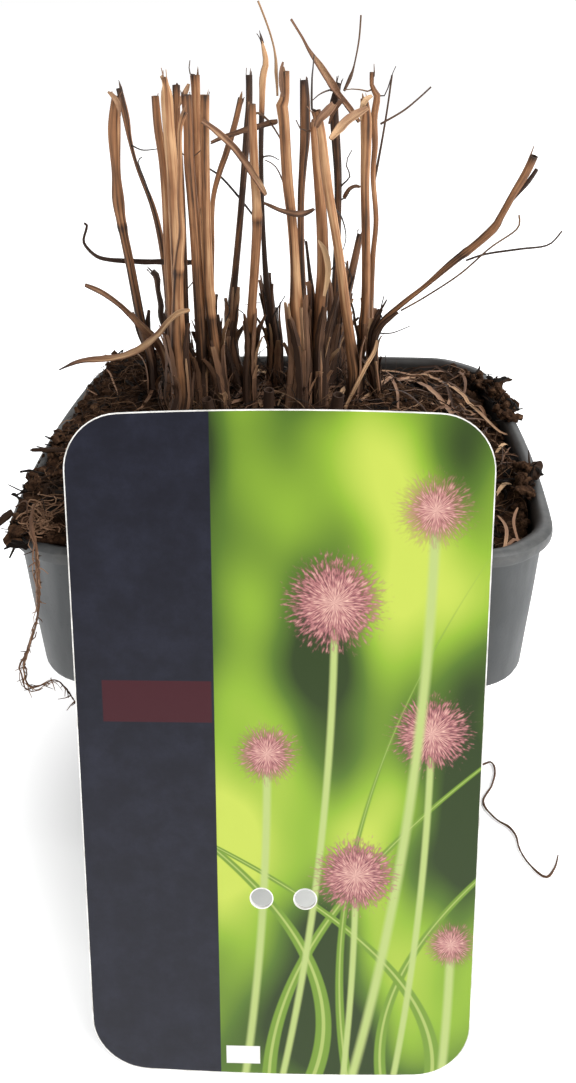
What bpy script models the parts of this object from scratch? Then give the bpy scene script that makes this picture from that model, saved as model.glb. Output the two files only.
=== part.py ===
# Potted fountain grass, cut back for the winter: a square nursery pot full of peat,
# a clump of dry cut stems with loose leaves, a plant label and two stray roots.
# Frame: +Z up, the pot's front faces -Y, the origin is the middle of the pot's base
# on the surface that it stands on. Sizes below are in millimetres.

import math

import bmesh
import bpy
from mathutils import Vector, noise

MM = 0.001

# Pot: a thin moulded square pot with a deep collar and a narrower foot
POT_HEIGHT = 90.0
POT_WIDTH = 90.0
RIM_CORNER = 7.2
RIM_BOW = dict(right=3.0, back=2.4, left=3.0, front=1.0)
LIP_HEIGHT = 2.8
LIP_REACH = 1.3
COLLAR_DEPTH = 29.0
COLLAR_FOOT_WIDTH = 88.0
COLLAR_FOOT_CORNER = 8.4
SHOULDER_DROP = 1.3
BODY_TOP_WIDTH = 77.0
BODY_FOOT_WIDTH = 62.0
BODY_CORNER = 8.0
WALL = 1.2
INNER_LIP = 2.2
DRAIN_HOLE = 7.0
DRAIN_HOLE_PLACE = 19.0
DRAIN_SLOT_WIDTH = 9.0
DRAIN_SLOT_HEIGHT = 4.5

# Peat and the crown of the plant that stands in it
CLEARANCE = 0.3
CROWN_TOP = POT_HEIGHT + 1.5
CROWN_MIDDLE = (-4.0, 11.0)
CROWN_REACH = (33.0, 22.0)
STEM_FOOT = CROWN_TOP + CLEARANCE

# Plant label: an arched plastic card that leans on the rim and stands on its foot
LABEL_WIDTH = 67.0
LABEL_LENGTH = 118.5
LABEL_THICKNESS = 0.6
LABEL_LEAN = 19.46
LABEL_TOP_OVER_RIM = 22.0
LABEL_FRONT_AT_RIM = -46.95
LABEL_MIDDLE = 0.45
LABEL_CORNER_TOP = 8.6
LABEL_CORNER_FOOT = 9.6
LABEL_ARCH = 1.0
LABEL_HOLE = 3.7
LABEL_HOLES = ((-3.1, 35.3), (4.4, 35.3))

# The reference view. A point of the plant is given by its pixel in the 576 x 1083
# photograph and by its depth, the distance in millimetres behind the pot's middle.
VIEW_MIDDLE = (288.0, 541.5)
VIEW_FOCAL = 888.6
VIEW_PITCH = math.radians(31.37)
VIEW_HEADING = math.radians(-2.22)
VIEW_ROLL = math.radians(0.84)
VIEW_EYE = Vector((6.6, -165.0, 165.2))

# Each stem: where its foot stands on the crown (right, back), the foot's width, the
# depth of its tip, and its outline from the tip down as (pixel right, pixel down, pixels wide)
STEMS = {
    "stem_far_left": ((-29.5, 17.0), 1.7, 15.0,
        [(116, 96, 8), (114, 130, 12), (116, 172, 8.5), (118, 200, 11.5), (122, 226, 8.5),
         (131, 270, 8.5), (142, 327, 9), (151, 358, 8)]),
    "stem_thin_left": ((-26.0, 20.0), 1.5, 23.0,
        [(119, 88, 6), (126, 117, 7), (130, 140, 4.5), (138, 169, 3.6), (152, 204, 5.5),
         (160, 235, 6.5), (166, 275, 7), (170, 330, 7)]),
    "stem_grey_left": ((-25.2, 11.5), 1.8, 9.0,
        [(155, 96, 7), (158, 129, 8), (163, 163, 8), (166, 205, 8), (168, 260, 8), (172, 340, 9)]),
    "stem_pale_left": ((-22.8, 7.8), 2.2, 5.0,
        [(165, 77, 4), (166, 86, 7), (167, 97, 12), (169, 129, 12), (172, 163, 12), (174, 200, 12),
         (176, 250, 11), (179, 330, 11)]),
    "stem_front_left": ((-22.4, 2.4), 3.6, -1.0,
        [(185, 112, 6), (180, 129, 5), (180, 163, 4.5), (180, 198, 5.5), (182, 232, 7),
         (179, 260, 10), (178, 304, 12), (179, 345, 16), (183, 392, 18)]),
    "stem_dark_tip": ((-20.4, 13.2), 1.8, 12.0,
        [(176, 85, 8), (177, 124, 7), (179, 163, 8), (181, 200, 8), (183, 260, 8), (186, 340, 8)]),
    "stem_brown_left": ((-17.8, 8.6), 2.0, 6.0,
        [(186, 95, 10), (188, 130, 9), (189, 163, 10), (192, 198, 10), (195, 235, 10),
         (197, 270, 10), (201, 340, 11)]),
    "stem_tall_left": ((-15.4, 14.4), 3.8, 15.0,
        [(195, 75, 10), (196, 95, 9), (197, 152, 8), (198, 186, 8), (199, 235, 9),
         (202, 292, 10), (205, 320, 15), (211, 360, 17)]),
    "stem_jointed": ((-12.8, 8.0), 2.2, 6.5,
        [(205, 95, 9), (205, 129, 9), (206, 198, 9), (207, 240, 10), (209, 288, 11), (210, 298, 12),
         (211, 312, 9.5), (214, 338, 10), (219, 370, 11)]),
    "stem_slanted": ((-11.0, 21.0), 1.5, 27.0,
        [(241, 98, 6), (235, 124, 6), (227, 151, 6.5), (219, 174, 6), (213, 200, 5), (212, 240, 5),
         (214, 320, 6)]),
    "stem_dark_back": ((-11.6, 27.5), 2.0, 34.0,
        [(249, 75, 7), (249, 105, 7), (247, 131, 7.5), (243, 184, 6.5), (239, 232, 6.5),
         (234, 285, 7), (231, 322, 9), (230, 345, 11)]),
    "stem_tan": ((-8.0, 11.0), 2.6, 9.0,
        [(252, 104, 8), (253, 135, 9), (255, 178, 9), (257, 220, 10), (255, 262, 9.5),
         (252, 305, 9), (252, 311, 10.5), (251, 340, 8.5), (249, 372, 12)]),
    "stem_black": ((-3.0, 22.0), 2.0, 25.0,
        [(261, 39, 1.2), (264, 50, 4.5), (266, 63, 6), (263, 77, 7), (262, 104, 6), (261, 157, 5),
         (263, 225, 4.5), (266, 279, 6), (270, 312, 8), (275, 345, 11)]),
    "stem_straw": ((2.2, 9.0), 4.0, 9.0,
        [(285, 71, 9), (285, 96, 9), (282, 105, 12), (284, 120, 11), (286, 155, 11), (288, 184, 11),
         (292, 220, 10), (295, 262, 10), (296, 290, 12), (297, 318, 16), (300, 360, 18)]),
    "stem_split": ((2.0, 16.2), 2.0, 22.0,
        [(304, 80, 8), (305, 104, 10), (305, 138, 10), (303, 165, 8), (301, 200, 7), (301, 250, 7),
         (302, 320, 10)]),
    "stem_low_node": ((7.0, 9.6), 2.4, 13.0,
        [(313, 122, 6), (316, 157, 8), (319, 184, 10), (322, 228, 11), (323, 268, 12),
         (321, 305, 13), (318, 350, 11)]),
    "stem_tall_dark": ((8.8, 20.6), 1.8, 29.0,
        [(339, 83, 5), (336, 95, 8), (334, 108, 9), (336, 140, 9), (338, 175, 8), (338, 215, 7),
         (336, 280, 8), (331, 350, 9)]),
    "stem_leaning": ((13.6, 11.0), 2.4, 6.0,
        [(316, 111, 10), (321, 131, 9), (324, 158, 10), (328, 190, 10), (334, 224, 9),
         (340, 262, 9), (345, 302, 10), (349, 332, 10), (353, 362, 12), (354, 374, 11.5)]),
    "stem_right": ((15.2, 18.4), 2.0, 19.0,
        [(364, 98, 7), (366, 118, 11), (366, 148, 10.5), (365, 185, 9), (366, 240, 9), (366, 285, 9),
         (365, 314, 10), (364, 320, 11.5), (364, 338, 9), (361, 356, 8)]),
    "stem_far_right": ((18.2, 24.6), 1.5, 30.0,
        [(372, 72, 5), (372, 87, 4.5), (377, 96, 7), (374, 118, 7), (375, 145, 6), (373, 176, 5),
         (376, 220, 5), (373, 256, 5), (371, 310, 5)]),
    "stem_spreading": ((19.4, 17.4), 1.6, 6.0,
        [(534, 156, 8), (526, 173, 8), (514, 193, 7), (500, 218, 7), (494, 228, 8.5), (474, 246, 7.5),
         (458, 258, 7), (447, 267, 6.5), (425, 286, 4.5), (402, 304, 5), (380, 324, 5), (373, 346, 6)]),
    "stem_stub_curled": ((-21.5, 25.5), 1.4, 27.0,
        [(152, 271, 6), (157, 277, 7), (158, 290, 5), (161, 304, 6), (164, 325, 6)]),
    "stem_stub_dark": ((5.0, 26.0), 2.2, 28.0,
        [(306, 241, 2.5), (309, 268, 3.5), (312, 295, 6), (313, 325, 9)]),
    "stem_stub_right": ((11.4, 27.6), 2.2, 36.0,
        [(360, 234, 6), (355, 258, 7), (348, 290, 8), (341, 325, 9)]),
}

# Low stubs of cut stems at the front of the crown: foot (right, back), width, height, lean
STUBS = {
    "stub_front_left": ((-14.5, -0.5), 2.6, 6.4, (-0.8, -1.0)),
    "stub_front_middle": ((-3.5, 1.5), 2.4, 7.6, (0.4, -1.2)),
    "stub_front_right": ((9.6, 0.6), 2.8, 6.8, (1.0, -0.8)),
    "stub_back_left": ((-16.5, 28.0), 2.4, 17.0, (-1.5, 3.5)),
    "stub_back_middle": ((-4.0, 30.2), 2.2, 14.0, (0.6, 4.0)),
}

# Loose leaf blades and sheaths, from the tip: (pixel right, pixel down, pixels wide, depth).
# Each one starts or ends against the stem that carries it.
LEAVES = {
    "leaf_arching_left": [
        (190, 310, 2.5, -0.9), (179, 313, 5, -1.0), (168, 322, 5, -0.6), (159, 333, 6, 0.0),
        (147, 344, 7, 0.8), (136, 351, 6.5, 1.4), (122, 356, 5.5, 2.0), (105, 359, 6, 2.6),
        (88, 360, 5, 3.2), (74, 363, 3.5, 3.6), (59, 370, 1.2, 4.0)],
    "leaf_forked": [
        (85, 285, 3, 5.0), (99, 291, 5, 6.0), (116, 302, 4.5, 7.4), (128, 313, 5, 8.6),
        (140, 325, 7, 10.0), (151, 336, 9, 11.4), (159, 346, 8, 12.8), (164, 358, 6, 14.0),
        (167, 374, 5, 15.2), (169, 388, 5, 16.0), (170, 395, 4, 16.2)],
    "leaf_black_curl": [
        (84, 223, 1.6, 19.6), (87, 226, 2, 19.6), (84, 237, 2, 19.4), (84, 243, 2.2, 19.2),
        (89, 250, 2.6, 19.0), (98, 257, 3.4, 18.8), (111, 260, 3.8, 18.6), (125, 261, 4.4, 18.5),
        (145, 262, 5, 18.6), (161, 262, 5, 18.6), (178, 262.5, 5, 16.7), (192, 262.5, 4.4, 15.6)],
    "leaf_bent_over": [
        (202, 121, 5, 5.0), (211, 127, 5.5, 5.0), (223, 137, 6.5, 5.6), (234, 148, 6.5, 6.2),
        (244, 161, 6.5, 6.9), (254, 176, 6.5, 7.6), (262, 188, 5.5, 8.0), (266, 195, 3, 8.6)],
    "leaf_crosswise": [
        (211, 142.6, 3, 22.0), (224, 137, 4.5, 20.0), (240, 132, 5.5, 17.4), (254, 128, 6.5, 14.6),
        (267, 124.5, 6, 12.0), (277, 122, 5, 10.4)],
    "leaf_diagonal": [
        (291, 19, 1.4, 26.0), (302, 37, 2, 26.4), (309, 50, 3, 26.8), (317, 62, 5.5, 27.0),
        (325, 74, 7.5, 27.2), (333, 86, 7.5, 27.3), (339, 95, 5.5, 27.2), (350, 109, 5.5, 26.4),
        (359, 122, 3, 25.0)],
    "leaf_wide_strap": [
        (368, 108, 4, 17.4), (357, 114, 8, 14.6), (346, 122, 9, 12.4), (337, 132, 7.5, 10.2),
        (330.5, 139, 4, 8.4)],
    "leaf_collar": [
        (316, 127, 4, 4.2), (320, 119, 7, 4.2), (328, 111, 8, 5.0), (334, 104, 6, 6.2)],
    "leaf_curled_right": [
        (344, 198, 3.5, 25.2), (349, 190, 5, 23.4), (355, 186.5, 4, 21.4), (359.5, 187, 2.5, 19.8)],
    "leaf_wrapped": [
        (264, 203, 2, 9.2), (275, 208, 3.5, 7.6), (286, 212, 4.5, 6.9), (299, 214.5, 6, 7.2),
        (308, 212, 4.5, 9.2), (314, 209, 2.5, 11.2)],
    "leaf_pale_foot": [
        (377, 340, 2, 14.2), (374, 352, 3.5, 13.0), (366, 366, 3.5, 10.4), (356, 386, 3.5, 8.6),
        (345, 408, 3, 8.0)],
}

# Wiry stalks and awns, in the same form
WIRES = {
    "awn_tallest": [
        (258, 1, 1.4, 6.0), (264, 16, 1.6, 6.6), (270, 33, 1.6, 7.2), (274, 48, 1.8, 7.8),
        (276, 62, 3, 8.3), (276, 71, 3.6, 8.6), (277, 86, 2.6, 8.8), (277.4, 96, 2.2, 8.9)],
    "awn_right_tall": [
        (361, 15, 1.4, 31.0), (359, 40, 1.5, 30.6), (354, 66, 1.8, 30.0), (350, 78, 4, 29.4),
        (344, 91, 2.6, 28.9)],
    "awn_far_right": [
        (431, 87, 1.6, 32.6), (419, 98, 1.8, 31.8), (403, 111, 2, 30.8), (380.5, 124, 2.2, 29.6)],
    "wire_right": [
        (392, 75, 2, 32.0), (388, 104, 2, 31.3), (383, 135, 2.2, 30.6), (377, 168, 2.6, 29.6),
        (373, 190, 2, 28.9)],
    "wire_spreading_long": [
        (562, 231, 1.8, 7.0), (548, 245, 2, 7.6), (520, 249, 2.4, 8.6), (486, 254, 2.4, 10.0),
        (466, 260.5, 2.2, 10.8)],
    "wire_spreading_low": [
        (519, 215, 1.6, 6.8), (517, 229, 2, 6.9), (490, 248, 2, 8.2), (460, 274, 2, 9.8),
        (425, 297, 2, 12.0), (401, 310.5, 2, 13.4)],
    "wire_behind_left": [
        (208, 168, 2, 25.4), (221, 177, 2.2, 26.8), (238, 196, 2.4, 32.8), (252, 214, 2, 33.4)],
}

# The dead flower stalk's side stub grows out of the spreading stem
SPREADING_STUB = [(537, 169, 4, 7.4), (528, 182, 4.5, 7.6), (517, 194, 4, 7.9),
                  (510, 203, 2.5, 8.1)]

# Stray roots, fine and knotted. The first hangs over the rim, and its rows are as above;
# the second lies on the ground, and its rows are (pixel right, pixel down, pixels wide).
ROOT_OVER_RIM = [
    (34, 505, 3, -36.6), (31, 520, 6, -41.2), (33, 535, 7, -45.4), (36, 549, 6, -47.9),
    (38, 570, 5.5, -47.4), (39, 590, 5, -46.6), (38, 610, 4, -46.3), (35, 628, 3.5, -46.0),
    (29, 646, 4, -45.6), (25, 658, 5, -45.6), (24, 672, 2.4, -45.6), (30, 687, 2.2, -46.0),
    (42, 685, 2.2, -46.6), (54, 680, 2.4, -47.4), (64, 686, 2.2, -48.2), (74, 700, 2, -49.0),
    (84, 712, 1.6, -50.0)]
ROOT_ON_FLOOR = [
    (455, 771, 2.0), (470, 769, 2.4), (484, 764, 2.2), (491, 762, 2), (495, 770, 2), (492, 785, 2),
    (483, 802, 2.2), (495, 818, 2), (509, 827, 2.4), (516, 836, 2), (520, 850, 1.8), (531, 866, 2),
    (546, 877, 3), (555, 867, 2), (558, 855, 1.6)]
ROOT_HEIGHT = 0.55

# The thinnest stalk that is modelled, and a dry leaf's thickness
THINNEST = 0.35
LEAF_THICKNESS = 0.45

# Loose bark chips on the rim: middle, length, width, turn about +Z and tilt, in degrees
BARK_CHIPS = {
    "bark_chip_back_right": ((47.6, 26.8, 91.1), 7.0, 1.8, 31.0, -6.0),
    "bark_chip_right": ((46.2, -18.6, 91.3), 5.4, 2.6, 70.0, 10.0),
    "bark_chip_left_front": ((-45.0, -12.0, 92.1), 8.0, 1.3, 172.0, -4.0),
    "bark_chip_left_corner": ((-45.4, -38.8, 92.3), 5.0, 1.6, 70.0, 10.0),
}

POT_GREY = (0.135, 0.142, 0.142, 1.0)
PEAT_BROWN = (0.030, 0.017, 0.010, 1.0)
BARK_BROWN = (0.018, 0.011, 0.007, 1.0)
STRAW_TAN = (0.410, 0.220, 0.105, 1.0)
STRAW_DARK = (0.075, 0.042, 0.026, 1.0)
LEAF_TAN = (0.430, 0.260, 0.140, 1.0)
ROOT_BROWN = (0.200, 0.100, 0.050, 1.0)
LABEL_NAVY = (0.020, 0.021, 0.040, 1.0)
DARK_STEMS = ("stem_dark_back", "stem_black", "stem_dark_tip", "stem_tall_dark",
              "stem_stub_dark", "stem_stub_right", "stem_stub_curled")


def clear_scene():
    for old in list(bpy.data.objects):
        bpy.data.objects.remove(old)


def material(name, colour, roughness):
    made = bpy.data.materials.new(name)
    made.use_nodes = True
    shader = made.node_tree.nodes["Principled BSDF"]
    shader.inputs["Base Color"].default_value = colour
    shader.inputs["Roughness"].default_value = roughness
    shader.inputs["Metallic"].default_value = 0.0
    return made


def add_object(name, points, faces, finish):
    # Points are in millimetres. The faces are turned outwards before the mesh is kept.
    shape = bmesh.new()
    corners = [shape.verts.new(Vector(point) * MM) for point in points]
    for face in faces:
        shape.faces.new([corners[i] for i in face])
    bmesh.ops.recalc_face_normals(shape, faces=shape.faces)
    mesh = bpy.data.meshes.new(name)
    shape.to_mesh(mesh)
    shape.free()
    mesh.materials.append(finish)
    placed = bpy.data.objects.new(name, mesh)
    bpy.context.scene.collection.objects.link(placed)
    return placed


def loft(rings):
    # Faces between rings of equal length, closed by a flat face at each end
    count = len(rings[0])
    points = [point for ring in rings for point in ring]
    faces = []
    for low in range(len(rings) - 1):
        for i in range(count):
            j = (i + 1) % count
            faces.append((low * count + i, low * count + j,
                          (low + 1) * count + j, (low + 1) * count + i))
    faces.append(tuple(range(count)))
    faces.append(tuple((len(rings) - 1) * count + i for i in range(count)))
    return points, faces


def cut(target, cutter):
    cutter.hide_render = True
    cutter.display_type = "WIRE"
    boolean = target.modifiers.new(cutter.name, "BOOLEAN")
    boolean.operation = "DIFFERENCE"
    boolean.solver = "EXACT"
    boolean.object = cutter


def square_outline(half, corner, bow, arc_steps=6, side_steps=5):
    # A rounded square whose sides bow out by bow times RIM_BOW, from the right side's front
    straight = half - corner
    sides = (("right", 0), ("back", 90), ("left", 180), ("front", 270))
    outline = []
    for name, turn in sides:
        run = []
        for i in range(side_steps):
            run.append((half, -straight + 2 * straight * i / side_steps))
        for i in range(arc_steps):
            angle = math.radians(90 * i / arc_steps)
            run.append((straight + corner * math.cos(angle), straight + corner * math.sin(angle)))
        angle = math.radians(turn)
        for x, y in run:
            outline.append((x * math.cos(angle) - y * math.sin(angle),
                            x * math.sin(angle) + y * math.cos(angle)))
    bowed = []
    for x, y in outline:
        bow_x = RIM_BOW["right"] if x > 0 else RIM_BOW["left"]
        bow_y = RIM_BOW["back"] if y > 0 else RIM_BOW["front"]
        out_x = bow * bow_x * min(abs(x) / half, 1) ** 8 * max(1 - (y / half) ** 2, 0)
        out_y = bow * bow_y * min(abs(y) / half, 1) ** 8 * max(1 - (x / half) ** 2, 0)
        bowed.append((x + math.copysign(out_x, x), y + math.copysign(out_y, y)))
    return bowed


def square_ring(half, corner, bow, height, **steps):
    return [(x, y, height) for x, y in square_outline(half, corner, bow, **steps)]


def pot_sections():
    # Half width, corner radius, bow and height of the outside, from the rim to the base
    rim = POT_WIDTH / 2
    wall = rim - LIP_REACH
    top = POT_HEIGHT
    collar_foot = top - COLLAR_DEPTH
    return [
        (rim - 1.3, RIM_CORNER - 1.3, 1.0, top - 0.05),
        (rim - 0.6, RIM_CORNER - 0.6, 1.0, top),
        (rim, RIM_CORNER, 1.0, top - 0.7),
        (rim, RIM_CORNER, 1.0, top - LIP_HEIGHT + 0.5),
        (rim - 0.4, RIM_CORNER - 0.4, 1.0, top - LIP_HEIGHT),
        (wall, RIM_CORNER - LIP_REACH, 1.0, top - LIP_HEIGHT - 0.3),
        (wall + 0.2, RIM_CORNER - 0.2, 0.55, top - COLLAR_DEPTH / 2),
        (COLLAR_FOOT_WIDTH / 2, COLLAR_FOOT_CORNER, 0.0, collar_foot + 0.6),
        (COLLAR_FOOT_WIDTH / 2 - 0.7, COLLAR_FOOT_CORNER - 0.7, 0.0, collar_foot),
        (BODY_TOP_WIDTH / 2, BODY_CORNER, 0.0, collar_foot - SHOULDER_DROP),
        (BODY_FOOT_WIDTH / 2 + 0.6, BODY_CORNER, 0.0, 1.0),
        (BODY_FOOT_WIDTH / 2, BODY_CORNER - 0.6, 0.0, 0.0)]


def inner_sections(inset):
    # The inside of the pot from its floor up, pulled in by inset
    rim = POT_WIDTH / 2
    collar_foot = POT_HEIGHT - COLLAR_DEPTH
    shoulder = collar_foot - SHOULDER_DROP
    inner = WALL + inset
    return [
        (BODY_FOOT_WIDTH / 2 + 0.5 - inner, BODY_CORNER - WALL, 0.0, inner),
        (BODY_TOP_WIDTH / 2 - inner, BODY_CORNER - WALL, 0.0, shoulder + 0.7 + inset),
        (COLLAR_FOOT_WIDTH / 2 - inner, COLLAR_FOOT_CORNER - WALL, 0.0, collar_foot + 1.5 + inset),
        (rim - LIP_REACH + 0.2 - inner, RIM_CORNER - 1.5, 0.55, POT_HEIGHT - COLLAR_DEPTH / 2),
        (rim - LIP_REACH - inner, RIM_CORNER - LIP_REACH - WALL, 1.0, POT_HEIGHT - 3.2)]


def make_pot():
    rings = [square_ring(*section) for section in pot_sections()]
    rings.reverse()
    inside = [square_ring(*section) for section in inner_sections(0.0)]
    inside.append(square_ring(POT_WIDTH / 2 - INNER_LIP, RIM_CORNER - INNER_LIP, 1.0, POT_HEIGHT - 0.9))
    rings += list(reversed(inside))
    pot = add_object("pot", *loft(rings), material("recycled_plastic", POT_GREY, 0.5))
    for i, (right, back) in enumerate(((1, 1), (-1, 1), (-1, -1), (1, -1))):
        bpy.ops.mesh.primitive_cylinder_add(
            vertices=16, radius=DRAIN_HOLE / 2 * MM, depth=10 * MM,
            location=(right * DRAIN_HOLE_PLACE * MM, back * DRAIN_HOLE_PLACE * MM, 0))
        hole = bpy.context.object
        hole.name = "drain_hole_cutter_%d" % i
        cut(pot, hole)
    reach = 2 * DRAIN_SLOT_HEIGHT
    edge = BODY_FOOT_WIDTH / 2
    for i in range(4):
        angle = math.radians(90 * i)
        bpy.ops.mesh.primitive_cube_add(
            size=1, location=(edge * math.cos(angle) * MM, edge * math.sin(angle) * MM, 0),
            rotation=(0, 0, angle), scale=(6 * MM, DRAIN_SLOT_WIDTH * MM, reach * MM))
        slot = bpy.context.object
        slot.name = "drain_slot_cutter_%d" % i
        cut(pot, slot)


def blend(value, stops):
    # Linear between the (position, value) stops
    for (a, low), (b, high) in zip(stops, stops[1:]):
        if value <= b:
            return low + (high - low) * (value - a) / (b - a)
    return stops[-1][1]


# The peat's edge around the pot, by angle from +X: its height from the rim's top, and
# how far it spills out from the pot's inner wall
PEAT_EDGE = ((0, -3.2), (18, -3.4), (32, -2.2), (42, -1.0), (52, -3.0), (66, -4.4), (100, -4.2),
             (106, -2.6), (113, 0.8), (124, 1.6), (134, 3.0), (145, 2.2), (158, 0.7), (176, 0.7),
             (200, 0.8), (222, 0.9), (234, 0.7), (246, 0.4), (258, -2.0), (290, -3.6), (318, -4.6),
             (330, -3.2), (338, -0.8), (346, -0.4), (354, -2.6), (360, -3.2))
PEAT_SPILL = ((0, 0.0), (142, 0.0), (150, 0.8), (165, 0.7), (185, 1.3), (205, 1.5), (222, 1.8),
              (232, 1.2), (240, 0.0), (360, 0.0))


def peat_height(x, y, edge_height):
    # The surface domes up to the flat crown, with lumps between the crown and the edge
    east = (x - CROWN_MIDDLE[0]) / CROWN_REACH[0]
    north = (y - CROWN_MIDDLE[1]) / CROWN_REACH[1]
    off_crown = min(max((math.hypot(east, north) - 1) / 0.45, 0), 1)
    lump = noise.noise(Vector((x * 0.16, y * 0.16, 3.7))) * 1.6
    lump += noise.noise(Vector((x * 0.42, y * 0.42, 9.1))) * 0.8
    return CROWN_TOP + off_crown * (edge_height - CROWN_TOP) + off_crown * lump


def make_soil():
    gap = CLEARANCE + 0.2
    steps = dict(arc_steps=5, side_steps=7)
    # It follows the wall up to the middle of the collar, and its edge lies above that
    rings = [square_ring(*section, **steps) for section in inner_sections(gap)[:-1]]
    inner_half = POT_WIDTH / 2 - LIP_REACH - WALL - gap
    top_inner = square_outline(inner_half, RIM_CORNER - LIP_REACH - WALL, 1.0, **steps)
    edge, under, over = [], [], []
    for x, y in top_inner:
        angle = math.degrees(math.atan2(y, x)) % 360
        level = POT_HEIGHT + blend(angle, PEAT_EDGE)
        spill = blend(angle, PEAT_SPILL)
        spill *= 1.0 + 0.5 * noise.noise(Vector((x * 0.4, y * 0.4, 1.3)))
        outward = 1 + spill / inner_half
        foot = max(POT_HEIGHT + CLEARANCE + 0.05, level - 0.6) if spill > 0 else level - 0.3
        edge.append((x, y, min(foot, level - 0.3)))
        under.append((x * outward, y * outward, min(foot, level - 0.3) + 0.05))
        over.append((x * outward, y * outward, level + 0.1 + 0.12 * spill))
    rings += [edge, under, over]
    for share in (0.955, 0.9, 0.83, 0.75, 0.66, 0.56, 0.45, 0.33, 0.2, 0.08):
        ring = []
        for (x, y), (outer_x, outer_y, outer_z) in zip(top_inner, over):
            ring.append((x * share, y * share, peat_height(x * share, y * share, outer_z)))
        rings.append(ring)
    add_object("soil", *loft(rings), material("peat", PEAT_BROWN, 0.95))


def label_point(right, up, out):
    # A point on the card: right of its middle line, up from its foot, out from its face
    lean = math.radians(LABEL_LEAN)
    top_z = POT_HEIGHT + LABEL_TOP_OVER_RIM
    down = LABEL_LENGTH - up
    top_y = LABEL_FRONT_AT_RIM + LABEL_TOP_OVER_RIM * math.tan(lean)
    y = top_y - down * math.sin(lean) - out * math.cos(lean)
    z = top_z - down * math.cos(lean) + out * math.sin(lean)
    return (LABEL_MIDDLE + right, y, z)


def label_outline():
    # Anticlockwise from the foot's right corner, with arched ends and round corners
    half = LABEL_WIDTH / 2
    outline = []
    corners = ((1, 0, LABEL_CORNER_FOOT, 270), (1, 1, LABEL_CORNER_TOP, 0),
               (-1, 1, LABEL_CORNER_TOP, 90), (-1, 0, LABEL_CORNER_FOOT, 180))
    for side, end, radius, start in corners:
        middle_x = side * (half - radius)
        middle_y = LABEL_LENGTH - radius if end else radius
        for i in range(7):
            angle = math.radians(start + 90 * i / 6)
            outline.append((middle_x + radius * math.cos(angle), middle_y + radius * math.sin(angle)))
        if start in (0, 180):
            run = half - radius
            for i in range(1, 6):
                across = run * (1 - 2 * i / 6) * side
                outline.append((across, LABEL_LENGTH if end else 0.0))
    arched = []
    for across, up in outline:
        share = (across / half) ** 2
        arch = LABEL_ARCH * share
        arched.append((across, up - arch if up > LABEL_LENGTH / 2 else up + arch))
    return arched


def make_label():
    outline = label_outline()
    front = [label_point(across, up, 0.0) for across, up in outline]
    back = [label_point(across, up, -LABEL_THICKNESS) for across, up in outline]
    card = add_object("plant_label", *loft([back, front]), material("label_card", LABEL_NAVY, 0.3))
    for i, (right, up) in enumerate(LABEL_HOLES):
        rings = []
        for out in (-3.0, 3.0):
            ring = []
            for k in range(14):
                angle = 2 * math.pi * k / 14
                ring.append(label_point(right + LABEL_HOLE / 2 * math.cos(angle),
                                        up + LABEL_HOLE / 2 * math.sin(angle), out))
            rings.append(ring)
        punch = add_object("label_hole_cutter_%d" % i, *loft(rings), card.active_material)
        cut(card, punch)


def view_axes():
    forward = Vector((math.cos(VIEW_PITCH) * math.sin(VIEW_HEADING),
                      math.cos(VIEW_PITCH) * math.cos(VIEW_HEADING), -math.sin(VIEW_PITCH)))
    level = Vector((math.cos(VIEW_HEADING), -math.sin(VIEW_HEADING), 0))
    below = forward.cross(level)
    right = level * math.cos(VIEW_ROLL) + below * math.sin(VIEW_ROLL)
    down = below * math.cos(VIEW_ROLL) - level * math.sin(VIEW_ROLL)
    return forward, right, down


FORWARD, RIGHT, DOWN = view_axes()


def sight(across, below):
    return (FORWARD + RIGHT * ((across - VIEW_MIDDLE[0]) / VIEW_FOCAL)
            + DOWN * ((below - VIEW_MIDDLE[1]) / VIEW_FOCAL))


def seen_at_depth(across, below, depth):
    line = sight(across, below)
    return VIEW_EYE + line * ((depth - VIEW_EYE.y) / line.y)


def seen_at_height(across, below, height):
    line = sight(across, below)
    return VIEW_EYE + line * ((height - VIEW_EYE.z) / line.z)


def millimetres(pixels, point):
    return pixels * (point - VIEW_EYE).dot(FORWARD) / VIEW_FOCAL


def side_vectors(points, start):
    # A steady pair of vectors across the route, carried along it without twisting
    pairs = []
    across = start
    for i, point in enumerate(points):
        ahead = (points[min(i + 1, len(points) - 1)] - points[max(i - 1, 0)]).normalized()
        across = (across - ahead * across.dot(ahead)).normalized()
        pairs.append((across, ahead.cross(across)))
    return pairs


def round_rings(points, widths, sides):
    rings = []
    pairs = side_vectors(points, Vector((1, 0.02, 0.03)))
    for point, width, (across, over) in zip(points, widths, pairs):
        ring = []
        for k in range(sides):
            angle = 2 * math.pi * (k + 0.5) / sides
            ring.append(point + (across * math.cos(angle) + over * math.sin(angle)) * width / 2)
        rings.append(ring)
    return rings


def stem_rings(points, widths, sides, hollow):
    # The foot is cut level on the crown, and a hollow stem has a dished cut at its tip
    rings = round_rings(points, widths, sides)
    foot = points[-1]
    over_foot = [(corner - points[-2]).to_2d().to_3d().normalized() for corner in rings[-2]]
    rings[-1] = [foot + aside * widths[-1] / 2 for aside in over_foot]
    if hollow:
        inward = (points[1] - points[0]).normalized() * widths[0] * 0.5
        dish = [points[0] + inward + (corner - points[0]) * 0.55 for corner in rings[0]]
        lip = [points[0] + (corner - points[0]) * 0.72 for corner in rings[0]]
        rings = [dish, lip] + rings
    return rings


def stem_route(foot, foot_width, tip_depth, outline):
    foot_point = Vector((foot[0], foot[1], STEM_FOOT))
    top = outline[0][1]
    reach = outline[-1][1] - top + 40
    points, widths = [], []
    for across, below, wide in outline:
        share = 1 - (below - top) / reach
        depth = foot[1] + (tip_depth - foot[1]) * share
        point = seen_at_depth(across, below, depth)
        points.append(point)
        widths.append(millimetres(wide, point))
    return points + [foot_point], widths + [foot_width]


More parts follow.
